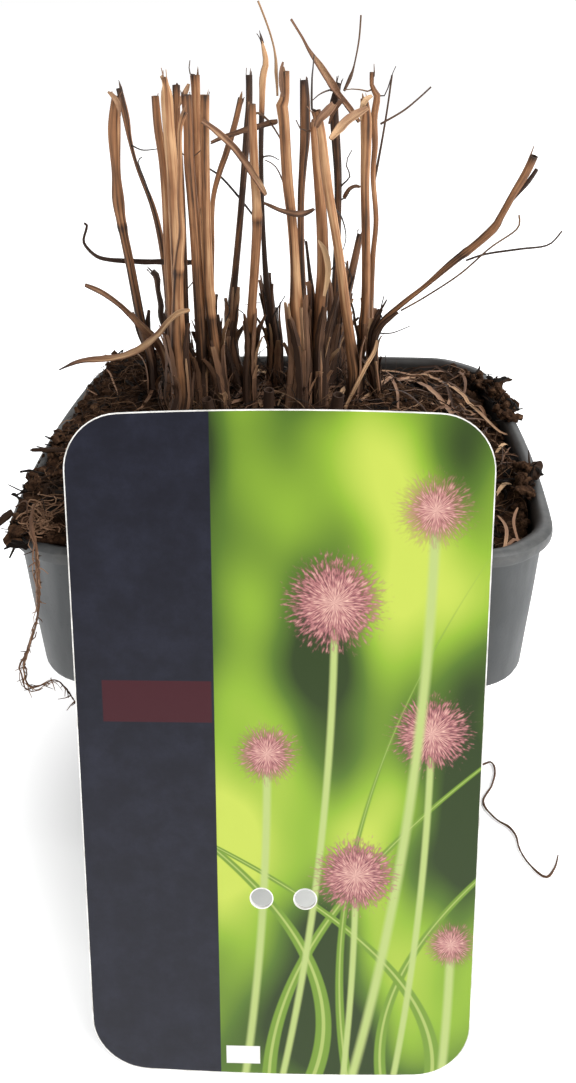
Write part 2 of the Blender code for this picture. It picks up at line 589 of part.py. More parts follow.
def blade_rings(points, widths):
    # A dry leaf: a flat strip, thickest along its middle, turned to face the view
    rings = []
    for i, (point, width) in enumerate(zip(points, widths)):
        ahead = (points[min(i + 1, len(points) - 1)] - points[max(i - 1, 0)]).normalized()
        across = ahead.cross(FORWARD).normalized()
        face = across.cross(ahead).normalized()
        thick = min(LEAF_THICKNESS, width * 0.6)
        rings.append([point + across * width / 2, point + across * width / 5 + face * thick / 2,
                      point - across * width / 5 + face * thick / 2, point - across * width / 2,
                      point - across * width / 5 - face * thick / 2,
                      point + across * width / 5 - face * thick / 2])
    return rings


def seen_route(outline):
    points, widths = [], []
    for across, below, wide, depth in outline:
        point = seen_at_depth(across, below, depth)
        points.append(point)
        widths.append(max(millimetres(wide, point), THINNEST))
    return points, widths


def unite(target, extra):
    boolean = target.modifiers.new(extra.name, "BOOLEAN")
    boolean.operation = "UNION"
    boolean.solver = "EXACT"
    boolean.object = extra
    extra.hide_render = True
    extra.display_type = "WIRE"


def make_stems():
    pale = material("dry_straw", STRAW_TAN, 0.6)
    dark = material("weathered_straw", STRAW_DARK, 0.7)
    for name, (foot, foot_width, tip_depth, outline) in STEMS.items():
        points, widths = stem_route(foot, foot_width, tip_depth, outline)
        finish = dark if name in DARK_STEMS else pale
        stem = add_object(name, *loft(stem_rings(points, widths, 7, widths[0] > 0.9)), finish)
        if name == "stem_spreading":
            points, widths = seen_route(SPREADING_STUB)
            unite(stem, add_object("side_stub", *loft(round_rings(points, widths, 6)), finish))
    for name, (foot, width, height, lean) in STUBS.items():
        grow = Vector((lean[0], lean[1], height))
        points = [Vector((foot[0], foot[1], STEM_FOOT)) + grow * share for share in (1.0, 0.55, 0.0)]
        widths = [width * 0.85, width * 0.9, width]
        add_object(name, *loft(stem_rings(points, widths, 7, True)), dark)


def make_leaves():
    finish = material("dry_leaf", LEAF_TAN, 0.65)
    for name, outline in LEAVES.items():
        add_object(name, *loft(blade_rings(*seen_route(outline))), finish)


def make_wires():
    finish = material("dry_stalk", STRAW_DARK, 0.7)
    for name, outline in WIRES.items():
        add_object(name, *loft(round_rings(*seen_route(outline), 5)), finish)


def make_roots():
    finish = material("fibrous_root", ROOT_BROWN, 0.85)
    add_object("root_over_rim", *loft(round_rings(*seen_route(ROOT_OVER_RIM), 6)), finish)
    points = [seen_at_height(across, below, ROOT_HEIGHT) for across, below, wide in ROOT_ON_FLOOR]
    widths = [millimetres(row[2], point) for row, point in zip(ROOT_ON_FLOOR, points)]
    slot_mouth = Vector((BODY_FOOT_WIDTH / 2 - 1.5, -1.0, ROOT_HEIGHT + 0.4))
    under_wall = Vector((BODY_FOOT_WIDTH / 2 + 4.0, -1.5, ROOT_HEIGHT + 0.1))
    points = [slot_mouth, under_wall] + points
    widths = [0.7, 0.6] + widths
    add_object("root_on_floor", *loft(round_rings(points, widths, 6)), finish)


def make_bark_chips():
    finish = material("bark", BARK_BROWN, 0.9)
    for name, (middle, length, width, turn, tilt) in BARK_CHIPS.items():
        aside = Vector((-math.sin(math.radians(turn)), math.cos(math.radians(turn)), 0))
        along = aside.cross(Vector((0, 0, 1))) * math.cos(math.radians(tilt))
        along.z = math.sin(math.radians(tilt))
        up = along.cross(aside)
        rings = []
        for share, swell in ((-0.5, 0.45), (-0.25, 0.9), (0.05, 1.0), (0.3, 0.8), (0.5, 0.3)):
            centre = Vector(middle) + along * length * share
            rings.append([centre + (aside * math.cos(a) + up * 0.6 * math.sin(a)) * width / 2 * swell
                          * (1 + 0.25 * math.sin(3 * a + 9 * share))
                          for a in (2 * math.pi * k / 6 for k in range(6))])
        add_object(name, *loft(rings), finish)


def main():
    clear_scene()
    make_pot()
    make_soil()
    make_label()
    make_stems()
    make_leaves()
    make_wires()
    make_roots()
    make_bark_chips()


main()
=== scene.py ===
import math
import random

import bmesh
import bpy
from mathutils import Matrix, Vector, noise
from mathutils.bvhtree import BVHTree


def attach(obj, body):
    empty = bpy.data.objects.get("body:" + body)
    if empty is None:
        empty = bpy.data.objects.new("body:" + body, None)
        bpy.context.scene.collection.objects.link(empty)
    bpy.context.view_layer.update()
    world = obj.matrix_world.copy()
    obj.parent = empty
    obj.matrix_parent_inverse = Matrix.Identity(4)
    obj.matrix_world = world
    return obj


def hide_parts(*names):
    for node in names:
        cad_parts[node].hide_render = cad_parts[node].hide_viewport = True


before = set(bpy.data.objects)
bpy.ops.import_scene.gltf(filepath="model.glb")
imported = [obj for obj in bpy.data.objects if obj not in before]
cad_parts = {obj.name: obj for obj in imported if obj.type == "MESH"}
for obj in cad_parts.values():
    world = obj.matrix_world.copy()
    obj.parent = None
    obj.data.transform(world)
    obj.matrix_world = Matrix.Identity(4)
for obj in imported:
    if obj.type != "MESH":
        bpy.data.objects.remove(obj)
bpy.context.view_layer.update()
mm = 0.001
potTop = 90.0
crownTop = 91.5


def deselectAll():
    bpy.ops.object.select_all(action="DESELECT")


def choose(piece):
    deselectAll()
    piece.select_set(True)
    bpy.context.view_layer.objects.active = piece


def applyAll(piece):
    choose(piece)
    for modifier in list(piece.modifiers):
        bpy.ops.object.modifier_apply(modifier=modifier.name)


def finishPiece(piece, name, finish, slotName, *nodes):
    # Names the piece, gives it its material and its place on the part
    piece.name = name
    piece.data.name = name
    piece.data.materials.clear()
    piece.data.materials.append(finish)
    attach(piece, "root")
    if nodes:
        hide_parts(*nodes)
    return piece


def hexColour(code):
    # An sRGB hex colour as linear light
    parts = [int(code[i:i + 2], 16) / 255 for i in (1, 3, 5)]
    return [c / 12.92 if c <= 0.04045 else ((c + 0.055) / 1.055) ** 2.4 for c in parts] + [1.0]


def newMaterial(name):
    made = bpy.data.materials.new(name)
    made.use_nodes = True
    return made, made.node_tree, made.node_tree.nodes["Principled BSDF"]


def addNode(tree, kind, settings=None, **inputs):
    # A node with its settings; an input given as a socket is linked, any other is set. The stops of
    # a colour ramp are pairs of a position and a hex colour.
    node = tree.nodes.new(kind)
    for key, value in (settings or {}).items():
        if key == "stops":
            while len(node.color_ramp.elements) < len(value):
                node.color_ramp.elements.new(0.5)
            for element, (position, code) in zip(node.color_ramp.elements, value):
                element.position = position
                element.color = hexColour(code)
        else:
            setattr(node, key, value)
    for key, value in inputs.items():
        socket = node.inputs[int(key[1:])] if key[0] == "i" and key[1:].isdigit() else node.inputs[key]
        if isinstance(value, bpy.types.NodeSocket):
            tree.links.new(value, socket)
        else:
            socket.default_value = value
    return node


# The camera stands where the photograph was taken from
photoView = {"middle": (288.0, 541.5), "focal": 888.6, "pitch": 31.37, "heading": -2.22,
             "roll": 0.84, "eye": (6.6, -165.0, 165.2), "height": 1083}
pitch, heading, roll = (math.radians(photoView[key]) for key in ("pitch", "heading", "roll"))
eye = Vector(photoView["eye"])
forward = Vector((math.cos(pitch) * math.sin(heading), math.cos(pitch) * math.cos(heading),
                  -math.sin(pitch)))
level = Vector((math.cos(heading), -math.sin(heading), 0))
below = forward.cross(level)
right = level * math.cos(roll) + below * math.sin(roll)
down = below * math.cos(roll) - level * math.sin(roll)


def sight(px, py):
    across, under = ((value - middle) / photoView["focal"]
                     for value, middle in zip((px, py), photoView["middle"]))
    return forward + right * across + down * under


def atDepth(px, py, depth):
    # The point in millimetres that a pixel shows, depth millimetres behind the pot's middle
    line = sight(px, py)
    return eye + line * ((depth - eye.y) / line.y)


def atHeight(px, py, height):
    line = sight(px, py)
    return eye + line * ((height - eye.z) / line.z)


def pixelsToMm(pixels, point):
    return pixels * (point - eye).dot(forward) / photoView["focal"]


bpy.ops.object.camera_add()
camera = bpy.context.object
camera.matrix_world = Matrix.Translation(eye * mm) @ Matrix((right, -down, -forward)).transposed().to_4x4()
camera.data.sensor_fit = "VERTICAL"
camera.data.sensor_height = 36
camera.data.lens = 36 * photoView["focal"] / photoView["height"]
camera.data.clip_start = 0.005
scene = bpy.context.scene
scene.camera = camera

# A white paper floor and soft light, strongest from the upper right, as in the photograph: metres,
# and each lamp's place, size and watts
stageSet = {"floorSize": 200.0, "floor": "#F5F5F5", "floorGlow": 0.6, "glowFrom": 0.03, "glowFull": 0.07,
            "horizon": 1.0, "overhead": 0.46, "fadeFrom": 0.04, "fadeFull": 0.4, "lampAim": (0, 0, 0.08),
            "lamps": (((0.65, -0.4, 0.85), 0.8, 12.5), ((-0.7, -0.5, 0.7), 0.8, 0.2),
                      ((0.3, 0.9, 0.8), 0.8, 3.5))}
bpy.ops.mesh.primitive_plane_add(size=stageSet["floorSize"])
floor = bpy.context.object
floor.name = "floor"
floorFinish, floorTree, floorShader = newMaterial("whitePaperFloor")
floorShader.inputs["Base Color"].default_value = hexColour(stageSet["floor"])
floorShader.inputs["Roughness"].default_value = 0.9
floorShader.inputs["Emission Color"].default_value = (1, 1, 1, 1)
# Away from the pot the paper glows a little, so that it stays white to the horizon
fromPot = addNode(floorTree, "ShaderNodeVectorMath", {"operation": "LENGTH"},
                  Vector=addNode(floorTree, "ShaderNodeTexCoord").outputs["Object"])
glow = addNode(floorTree, "ShaderNodeMapRange", None, Value=fromPot.outputs["Value"],
               i1=stageSet["glowFrom"], i2=stageSet["glowFull"], i3=0.0, i4=stageSet["floorGlow"])
floorTree.links.new(glow.outputs["Result"], floorShader.inputs["Emission Strength"])
floor.data.materials.append(floorFinish)
scene.view_settings.view_transform = "Standard"
# The sky is white at the horizon and softer overhead
scene.world = bpy.data.worlds.new("studio")
scene.world.use_nodes = True
skyTree = scene.world.node_tree
skyNode = skyTree.nodes["Background"]
skyNode.inputs["Color"].default_value = (1, 1, 1, 1)
skyHeight = addNode(skyTree, "ShaderNodeSeparateXYZ", None,
                    Vector=addNode(skyTree, "ShaderNodeTexCoord").outputs["Generated"])
skyGlow = addNode(skyTree, "ShaderNodeMapRange", None, Value=skyHeight.outputs["Z"],
                  i1=stageSet["fadeFrom"], i2=stageSet["fadeFull"],
                  i3=stageSet["horizon"], i4=stageSet["overhead"])
skyTree.links.new(skyGlow.outputs["Result"], skyNode.inputs["Strength"])
for spot, size, power in stageSet["lamps"]:
    bpy.ops.object.light_add(type="AREA", location=spot)
    lamp = bpy.context.object
    lamp.data.size = size
    lamp.data.energy = power
    lamp.rotation_euler = (Vector(stageSet["lampAim"]) - Vector(spot)).to_track_quat("-Z", "Y").to_euler()
print("camera, floor and light")


# Pot. Recycled polypropylene, injection moulded: satin grey with dark specks and rubbed corners
potShape = {"corner": 7.2, "cornerSteps": 9, "sideSteps": 15,
            "bow": {"right": 3.0, "back": 2.4, "left": 3.0, "front": 1.0},
            "bowFoot": 61.0, "bowTop": 86.0,
            "drainHole": 7.0, "drainPlace": 19.0, "slot": (6.0, 9.0, 9.0)}
# Half width and height from the inner floor, over the rolled lip and down to the base
potSections = [(30.3, 1.2), (37.3, 60.4), (42.8, 62.5), (42.7, 75.5), (42.5, 86.8), (42.45, 88.6),
               (42.7, 89.4), (43.2, 89.85), (43.9, 90.0), (44.5, 89.8), (44.9, 89.4), (45.0, 88.8),
               (45.0, 87.9), (44.8, 87.4), (44.4, 87.2), (43.9, 87.1), (43.72, 86.6), (43.9, 75.5),
               (44.0, 62.0), (43.8, 61.3), (43.2, 61.0), (39.0, 59.9), (38.5, 59.3), (31.6, 1.2),
               (31.3, 0.4), (31.0, 0.0)]


def potPlastic():
    finish, tree, shader = newMaterial("mouldedPolypropylene")
    place = addNode(tree, "ShaderNodeTexCoord").outputs["Object"]
    cloud = addNode(tree, "ShaderNodeTexNoise", None, Vector=place, Scale=1 / (22 * mm), Detail=5.0)
    tone = addNode(tree, "ShaderNodeValToRGB", {"stops": ((0.35, "#2D3031"), (0.68, "#3C3F41"))},
                   Fac=cloud.outputs["Fac"])
    # Specks of regrind, 0.2 to 0.4 mm, drawn a little coarser than they are so that they show
    specks = addNode(tree, "ShaderNodeTexVoronoi", {"feature": "F1"}, Vector=place, Scale=1 / (1.1 * mm))
    dark = addNode(tree, "ShaderNodeMapRange", None, Value=specks.outputs["Distance"],
                   i1=0.1, i2=0.24, i3=0.3, i4=0.0)
    speckled = addNode(tree, "ShaderNodeMix", {"data_type": "RGBA"}, Factor=dark.outputs["Result"],
                       i6=tone.outputs["Color"], i7=hexColour("#25282A"))
    # Dust and rubbed plastic, palest on the rolled lip
    height = addNode(tree, "ShaderNodeSeparateXYZ", None, Vector=place).outputs["Z"]
    lip = addNode(tree, "ShaderNodeMapRange", None, Value=height, i1=86.6 * mm, i2=88.8 * mm, i3=0.0, i4=0.5)
    scuffs = addNode(tree, "ShaderNodeTexNoise", None, Vector=place, Scale=1 / (2.6 * mm), Detail=6.0,
                     Roughness=0.7)
    rubbed = addNode(tree, "ShaderNodeMapRange", None, Value=scuffs.outputs["Fac"],
                     i1=0.42, i2=0.66, i3=0.35, i4=1.0)
    worn = addNode(tree, "ShaderNodeMath", {"operation": "MULTIPLY"}, i0=lip.outputs["Result"],
                   i1=rubbed.outputs["Result"])
    dusty = addNode(tree, "ShaderNodeMix", {"data_type": "RGBA"}, Factor=worn.outputs[0],
                    i6=speckled.outputs[2], i7=hexColour("#656360"))
    # A film of dried peat water in streaks down the wall
    film = addNode(tree, "ShaderNodeTexNoise", None, Vector=addNode(
        tree, "ShaderNodeMapping", None, Vector=place, Scale=(1.0, 1.0, 0.25)).outputs["Vector"],
        Scale=1 / (5 * mm), Detail=6.0)
    filmed = addNode(tree, "ShaderNodeMapRange", None, Value=film.outputs["Fac"],
                     i1=0.55, i2=0.78, i3=0.0, i4=0.35)
    stained = addNode(tree, "ShaderNodeMix", {"data_type": "RGBA"}, Factor=filmed.outputs["Result"],
                      i6=dusty.outputs[2], i7=hexColour("#55534F"))
    # Painted shade: the wall's inner side, which faces the pot's middle, is darkened nearly to black where
    # the inside of the pot lies in shade
    fromMiddle = addNode(tree, "ShaderNodeVectorMath", {"operation": "MULTIPLY"}, i0=place,
                         i1=(1.0, 1.0, 0.0))
    outwards = addNode(tree, "ShaderNodeVectorMath", {"operation": "DOT_PRODUCT"}, i0=fromMiddle.outputs[0],
                       i1=addNode(tree, "ShaderNodeTexCoord").outputs["Normal"])
    inner = addNode(tree, "ShaderNodeMapRange", None, Value=outwards.outputs["Value"],
                    i1=-20 * mm, i2=-2 * mm, i3=0.8, i4=0.0)
    shadedInside = addNode(tree, "ShaderNodeMix", {"data_type": "RGBA"}, Factor=inner.outputs["Result"],
                    i6=stained.outputs[2], i7=hexColour("#1F1A17"))
    tree.links.new(shadedInside.outputs[2], shader.inputs["Base Color"])
    shine = addNode(tree, "ShaderNodeMapRange", None, Value=film.outputs["Fac"],
                    i1=0.3, i2=0.7, i3=0.42, i4=0.62)
    tree.links.new(shine.outputs["Result"], shader.inputs["Roughness"])
    grain = addNode(tree, "ShaderNodeTexNoise", None, Vector=place, Scale=1 / (0.6 * mm), Detail=3.0)
    bump = addNode(tree, "ShaderNodeBump", None, Height=grain.outputs["Fac"], Strength=0.18,
                   Distance=0.1 * mm)
    tree.links.new(bump.outputs["Normal"], shader.inputs["Normal"])
    return finish


def makePot():
    firstHalf, firstHeight = potSections[0]
    bpy.ops.mesh.primitive_plane_add(size=2 * firstHalf * mm, location=(0, 0, firstHeight * mm))
    pot = bpy.context.object
    bpy.ops.object.transform_apply()
    bpy.ops.object.mode_set(mode="EDIT")
    bpy.ops.mesh.bevel(offset=potShape["corner"] * mm, segments=potShape["cornerSteps"], affect="VERTICES")
    shape = bmesh.from_edit_mesh(pot.data)
    for edge in shape.edges:
        edge.select = edge.calc_length() > 20 * mm
    bpy.ops.mesh.subdivide(number_cuts=potShape["sideSteps"])
    bpy.ops.mesh.select_all(action="SELECT")
    bpy.ops.mesh.delete(type="ONLY_FACE")
    bpy.ops.mesh.select_all(action="SELECT")
    half, height = firstHalf, firstHeight
    for nextHalf, nextHeight in potSections[1:]:
        bpy.ops.mesh.extrude_region_move(
            TRANSFORM_OT_translate={"value": (0, 0, (nextHeight - height) * mm)})
        grow = nextHalf / half
        bpy.ops.transform.resize(value=(grow, grow, 1), center_override=(0, 0, 0))
        half, height = nextHalf, nextHeight
    bpy.ops.mesh.select_all(action="SELECT")
    bpy.ops.mesh.fill_holes(sides=0)
    bpy.ops.mesh.normals_make_consistent(inside=False)
    bpy.ops.object.mode_set(mode="OBJECT")
    # The long sides bow outwards, most at the rim
    bow = potShape["bow"]
    for vert in pot.data.vertices:
        x, y, z = vert.co / mm
        share = min(max((z - potShape["bowFoot"]) / (potShape["bowTop"] - potShape["bowFoot"]), 0), 1)
        edge = max(abs(x), abs(y))
        outX = (bow["right"] if x > 0 else bow["left"]) * (abs(x) / edge) ** 8 * (1 - (y / edge) ** 2)
        outY = (bow["back"] if y > 0 else bow["front"]) * (abs(y) / edge) ** 8 * (1 - (x / edge) ** 2)
        vert.co.x += math.copysign(max(outX, 0), x) * share * mm
        vert.co.y += math.copysign(max(outY, 0), y) * share * mm
    cutters = []
    for sideX, sideY in ((1, 1), (-1, 1), (-1, -1), (1, -1)):
        place = (sideX * potShape["drainPlace"] * mm, sideY * potShape["drainPlace"] * mm, 0)
        bpy.ops.mesh.primitive_cylinder_add(vertices=32, radius=potShape["drainHole"] / 2 * mm,
                                            depth=10 * mm, location=place)
        cutters.append(bpy.context.object)
    foot = potSections[-1][0]
    deep, wide, tall = (size * mm for size in potShape["slot"])
    for quarter in range(4):
        turn = quarter * math.pi / 2
        bpy.ops.mesh.primitive_cube_add(size=1, scale=(deep, wide, tall), rotation=(0, 0, turn),
                                        location=(foot * math.cos(turn) * mm, foot * math.sin(turn) * mm, 0))
        cutters.append(bpy.context.object)
    for cutter in cutters:
        cutting = pot.modifiers.new("drain", "BOOLEAN")
        cutting.operation = "DIFFERENCE"
        cutting.object = cutter
    applyAll(pot)
    for cutter in cutters:
        bpy.data.objects.remove(cutter)
    choose(pot)
    bpy.ops.object.shade_smooth_by_angle(angle=math.radians(35))
    return finishPiece(pot, "squareNurseryPot", potPlastic(), "pot_plastic", "pot")


pot = makePot()
print("pot")


# Peat. Milled peat with coir, damp: nearly black, matt, with red-brown fibres
soilShape = {"cutHeight": 84.0, "voxel": 0.7, "lumps": ((5.0, 1.5), (1.5, 1.3))}


def peatFinish(name, dark, middle, pale):
    finish, tree, shader = newMaterial(name)
    place = addNode(tree, "ShaderNodeTexCoord").outputs["Object"]
    crumbs = addNode(tree, "ShaderNodeTexNoise", None, Vector=place, Scale=1 / (1.4 * mm), Detail=8.0,
                     Roughness=0.7)
    tone = addNode(tree, "ShaderNodeValToRGB", {"stops": ((0.36, dark), (0.54, middle), (0.72, pale))},
                   Fac=crumbs.outputs["Fac"])
    tree.links.new(tone.outputs["Color"], shader.inputs["Base Color"])
    shader.inputs["Roughness"].default_value = 0.95
    shader.inputs["Specular IOR Level"].default_value = 0.05
    bump = addNode(tree, "ShaderNodeBump", None, Height=crumbs.outputs["Fac"], Strength=0.8,
                   Distance=0.8 * mm)
    tree.links.new(bump.outputs["Normal"], shader.inputs["Normal"])
    return finish


def makeSoil():
    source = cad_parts["soil"]
    halves = []
    for clearAbove in (True, False):
        half = bpy.data.objects.new("peat", source.data.copy())
        bpy.context.scene.collection.objects.link(half)
        choose(half)
        bpy.ops.object.mode_set(mode="EDIT")
        bpy.ops.mesh.select_all(action="SELECT")
        bpy.ops.mesh.remove_doubles(threshold=0.00002)
        bpy.ops.mesh.bisect(plane_co=(0, 0, soilShape["cutHeight"] * mm), plane_no=(0, 0, 1),
                            use_fill=True, clear_inner=not clearAbove, clear_outer=clearAbove)
        bpy.ops.object.mode_set(mode="OBJECT")
        halves.append(half)
    lower, upper = halves
    choose(upper)
    remesh = upper.modifiers.new("even", "REMESH")
    remesh.mode = "VOXEL"
    remesh.voxel_size = soilShape["voxel"] * mm
    for size, height in soilShape["lumps"]:
        cloud = bpy.data.textures.new("peatLumps", "CLOUDS")
        cloud.noise_scale = size * mm
        cloud.noise_depth = 2
        lumps = upper.modifiers.new("lumps", "DISPLACE")
        lumps.texture = cloud
        lumps.strength = height * mm
        lumps.mid_level = 0.55
    applyAll(upper)
    deselectAll()
    lower.select_set(True)
    upper.select_set(True)
    bpy.context.view_layer.objects.active = upper
    bpy.ops.object.join()
    bpy.ops.object.shade_smooth()
    return finishPiece(upper, "peatAndCoir", peatFinish("milledPeat", "#1A100B", "#332217", "#5C4331"),
                       "peat", "soil")


peat = makeSoil()
print("peat", len(peat.data.polygons))


# Plant label. Printed polystyrene card, die cut, varnished: satin gloss, with a white cut edge
labelShape = {"width": 67.0, "length": 118.5, "thick": 0.6, "lean": 19.46, "topOverRim": 22.0,
              "frontAtRim": -46.95, "middle": 0.45, "cornerTop": 8.6, "cornerFoot": 9.6, "arch": 1.0,
              "hole": 3.7, "holes": ((-3.1, 35.3), (4.4, 35.3)), "border": 0.2}
# The print, in millimetres right of the card's middle line and up from its foot: a navy band, soft
# greens, round dusty-pink seed heads (right, up, radius, softness) on bowed stems, arching blades
# (foot, bow, lean, half width) and two plain blocks (right, up, half width, half height, blur, ink)
labelPrint = {"bandEdge": -10.6,
              "heads": ((9.0, 88.0, 8.5, 0.30), (25.0, 66.0, 7.0, 0.25), (-2.0, 62.0, 5.5, 0.45),
                        (24.5, 103.0, 6.0, 0.7), (13.0, 40.0, 7.5, 0.2), (29.5, 27.0, 4.5, 0.6)),
              "blades": ((-2.0, 0.0009, 0.05, 1.3), (6.0, -0.0016, 0.33, 1.6), (18.0, 0.0013, -0.12, 1.1),
                         (27.0, -0.0021, 0.10, 1.5), (12.0, 0.0004, -0.16, 0.9)),
              "greens": ("#26380F", "#4D6B1D", "#83A52C", "#B4C34E"), "navy": "#0C0D1B", "dust": "#1B1D2C",
              "pinks": ("#6E3B45", "#A9706F", "#D6AFA0"), "stalks": "#A9B970",
              "blade": "#6B8B2C", "vein": "#C3CC7C",
              "blocks": ((-20.0, 71.0, 9.0, 3.6, 0.1, "#3A0A16"), (-6.6, 4.0, 3.0, 1.8, 0.08, "#E4E2DE"))}


def labelPoint(across, up, out):
    lean = math.radians(labelShape["lean"])
    topY = labelShape["frontAtRim"] + labelShape["topOverRim"] * math.tan(lean)
    under = labelShape["length"] - up
    return Vector((labelShape["middle"] + across,
                   topY - under * math.sin(lean) - out * math.cos(lean),
                   potTop + labelShape["topOverRim"] - under * math.cos(lean) + out * math.sin(lean)))


def labelFinish():
    finish, tree, shader = newMaterial("printedPolystyreneCard")
    chart = addNode(tree, "ShaderNodeUVMap").outputs["UV"]
    split = addNode(tree, "ShaderNodeSeparateXYZ", None, Vector=addNode(
        tree, "ShaderNodeVectorMath", {"operation": "SCALE"}, i0=chart, Scale=100.0).outputs["Vector"])
    across, up = split.outputs["X"], split.outputs["Y"]

    def sums(operation, a, b, c=0.0):
        return addNode(tree, "ShaderNodeMath", {"operation": operation}, i0=a, i1=b, i2=c).outputs[0]

    def fade(value, start, end):
        # 1 below start, 0 above end
        return addNode(tree, "ShaderNodeMapRange", {"interpolation_type": "SMOOTHSTEP"}, Value=value,
                       i1=start, i2=end, i3=1.0, i4=0.0).outputs["Result"]

    def distance(a, b):
        return sums("ABSOLUTE", sums("SUBTRACT", a, b), 0.0)

    def laid(share, under, over):
        return addNode(tree, "ShaderNodeMix", {"data_type": "RGBA"}, Factor=share, i6=under,
                       i7=over).outputs[2]

    # Out-of-focus ground: soft patches some 18 mm wide, stretched upwards
    soft = addNode(tree, "ShaderNodeTexNoise", None, Vector=addNode(
        tree, "ShaderNodeMapping", None, Vector=chart, Rotation=(0, 0, 0.35), Scale=(1.0, 0.55, 1.0),
        Location=(1.7, 0.4, 0)).outputs["Vector"], Scale=5.5, Detail=1.0, Roughness=0.3)
    picture = addNode(tree, "ShaderNodeValToRGB", {
        "stops": tuple(zip((0.36, 0.46, 0.58, 0.7), labelPrint["greens"]))},
        Fac=soft.outputs["Fac"]).outputs["Color"]
    for foot, bow, lean, half in labelPrint["blades"]:
        middle = sums("MULTIPLY_ADD", sums("MULTIPLY_ADD", up, bow * 10, lean), up, foot)
        away = distance(across, middle)
        taper = sums("MULTIPLY_ADD", up, -half / 95, half)
        picture = laid(fade(sums("SUBTRACT", away, taper), -0.25, 0.15), picture,
                       hexColour(labelPrint["blade"]))
        vein = sums("SUBTRACT", away, sums("MULTIPLY", taper, 0.25))
        picture = laid(sums("MULTIPLY", fade(vein, -0.2, 0.1), 0.5), picture,
                       hexColour(labelPrint["vein"]))
    for right, high, radius, softness in labelPrint["heads"]:
        # A stalk bows up to each head, which is a ball of fine rays
        fromFoot = sums("SUBTRACT", up, high)
        stalk = sums("MULTIPLY_ADD", sums("MULTIPLY", fromFoot, fromFoot), -0.0011, right)
        beside = distance(across, stalk)
        below = fade(fromFoot, -radius * 0.2, 0.0)
        picture = laid(sums("MULTIPLY", fade(beside, 0.25, 0.55 + softness), below), picture,
                       hexColour(labelPrint["stalks"]))
        beyond = sums("SUBTRACT", across, right)
        turn = sums("ARCTAN2", fromFoot, beyond)
        squares = (sums("MULTIPLY", beyond, beyond), sums("MULTIPLY", fromFoot, fromFoot))
        away = sums("SQRT", sums("ADD", *squares), 0.0)
        rays = addNode(tree, "ShaderNodeTexNoise", {"noise_dimensions": "2D"}, Vector=addNode(
            tree, "ShaderNodeCombineXYZ", None, X=turn, Y=sums("MULTIPLY", away, 0.05)).outputs["Vector"],
            Scale=16.0, Detail=2.0)
        ragged = sums("MULTIPLY_ADD", rays.outputs["Fac"], -radius * 0.9, away)
        edge = radius * 0.45
        ball = fade(ragged, edge - radius * (0.18 + softness * 0.5), edge + radius * softness * 0.3)
        lit = sums("MULTIPLY_ADD", away, -0.45 / radius,
                   sums("MULTIPLY_ADD", rays.outputs["Fac"], 1.1, 0.05))
        pinks = addNode(tree, "ShaderNodeValToRGB", {
            "stops": tuple(zip((0.18, 0.42, 0.72), labelPrint["pinks"]))}, Fac=lit)
        picture = laid(ball, picture, pinks.outputs["Color"])
    band = fade(across, labelPrint["bandEdge"] - 0.08, labelPrint["bandEdge"] + 0.08)
    # A film of dust and rub marks shows on the dark print
    rubs = addNode(tree, "ShaderNodeTexNoise", None, Vector=chart, Scale=14.0, Detail=8.0, Roughness=0.75)
    navy = laid(fade(rubs.outputs["Fac"], 0.35, 0.75), hexColour(labelPrint["dust"]),
                hexColour(labelPrint["navy"]))
    picture = laid(band, picture, navy)
    for right, high, halfWide, halfHigh, blur, ink in labelPrint["blocks"]:
        sideWays = sums("SUBTRACT", distance(across, right), halfWide)
        upWays = sums("SUBTRACT", distance(up, high), halfHigh)
        picture = laid(fade(sums("MAXIMUM", sideWays, upWays), -blur, blur), picture, hexColour(ink))
    tree.links.new(picture, shader.inputs["Base Color"])
    shader.inputs["Roughness"].default_value = 0.34
    shader.inputs["Specular IOR Level"].default_value = 0.3
    ripple = addNode(tree, "ShaderNodeTexNoise", None, Vector=chart, Scale=9.0, Detail=2.0)
    bump = addNode(tree, "ShaderNodeBump", None, Height=ripple.outputs["Fac"], Strength=0.1,
                   Distance=0.2 * mm)
    tree.links.new(bump.outputs["Normal"], shader.inputs["Normal"])
    return finish


def cutEdgeFinish():
    # The bare white core of the card, seen where the punch and the die cut it
    finish, tree, shader = newMaterial("whitePolystyreneEdge")
    place = addNode(tree, "ShaderNodeTexCoord").outputs["Object"]
    soil = addNode(tree, "ShaderNodeTexNoise", None, Vector=place, Scale=1 / (3 * mm), Detail=4.0)
    tone = addNode(tree, "ShaderNodeValToRGB", {"stops": ((0.3, "#B9B6B0"), (0.6, "#EFEDE9"))},
                   Fac=soil.outputs["Fac"])
    tree.links.new(tone.outputs["Color"], shader.inputs["Base Color"])
    shader.inputs["Roughness"].default_value = 0.5
    return finish


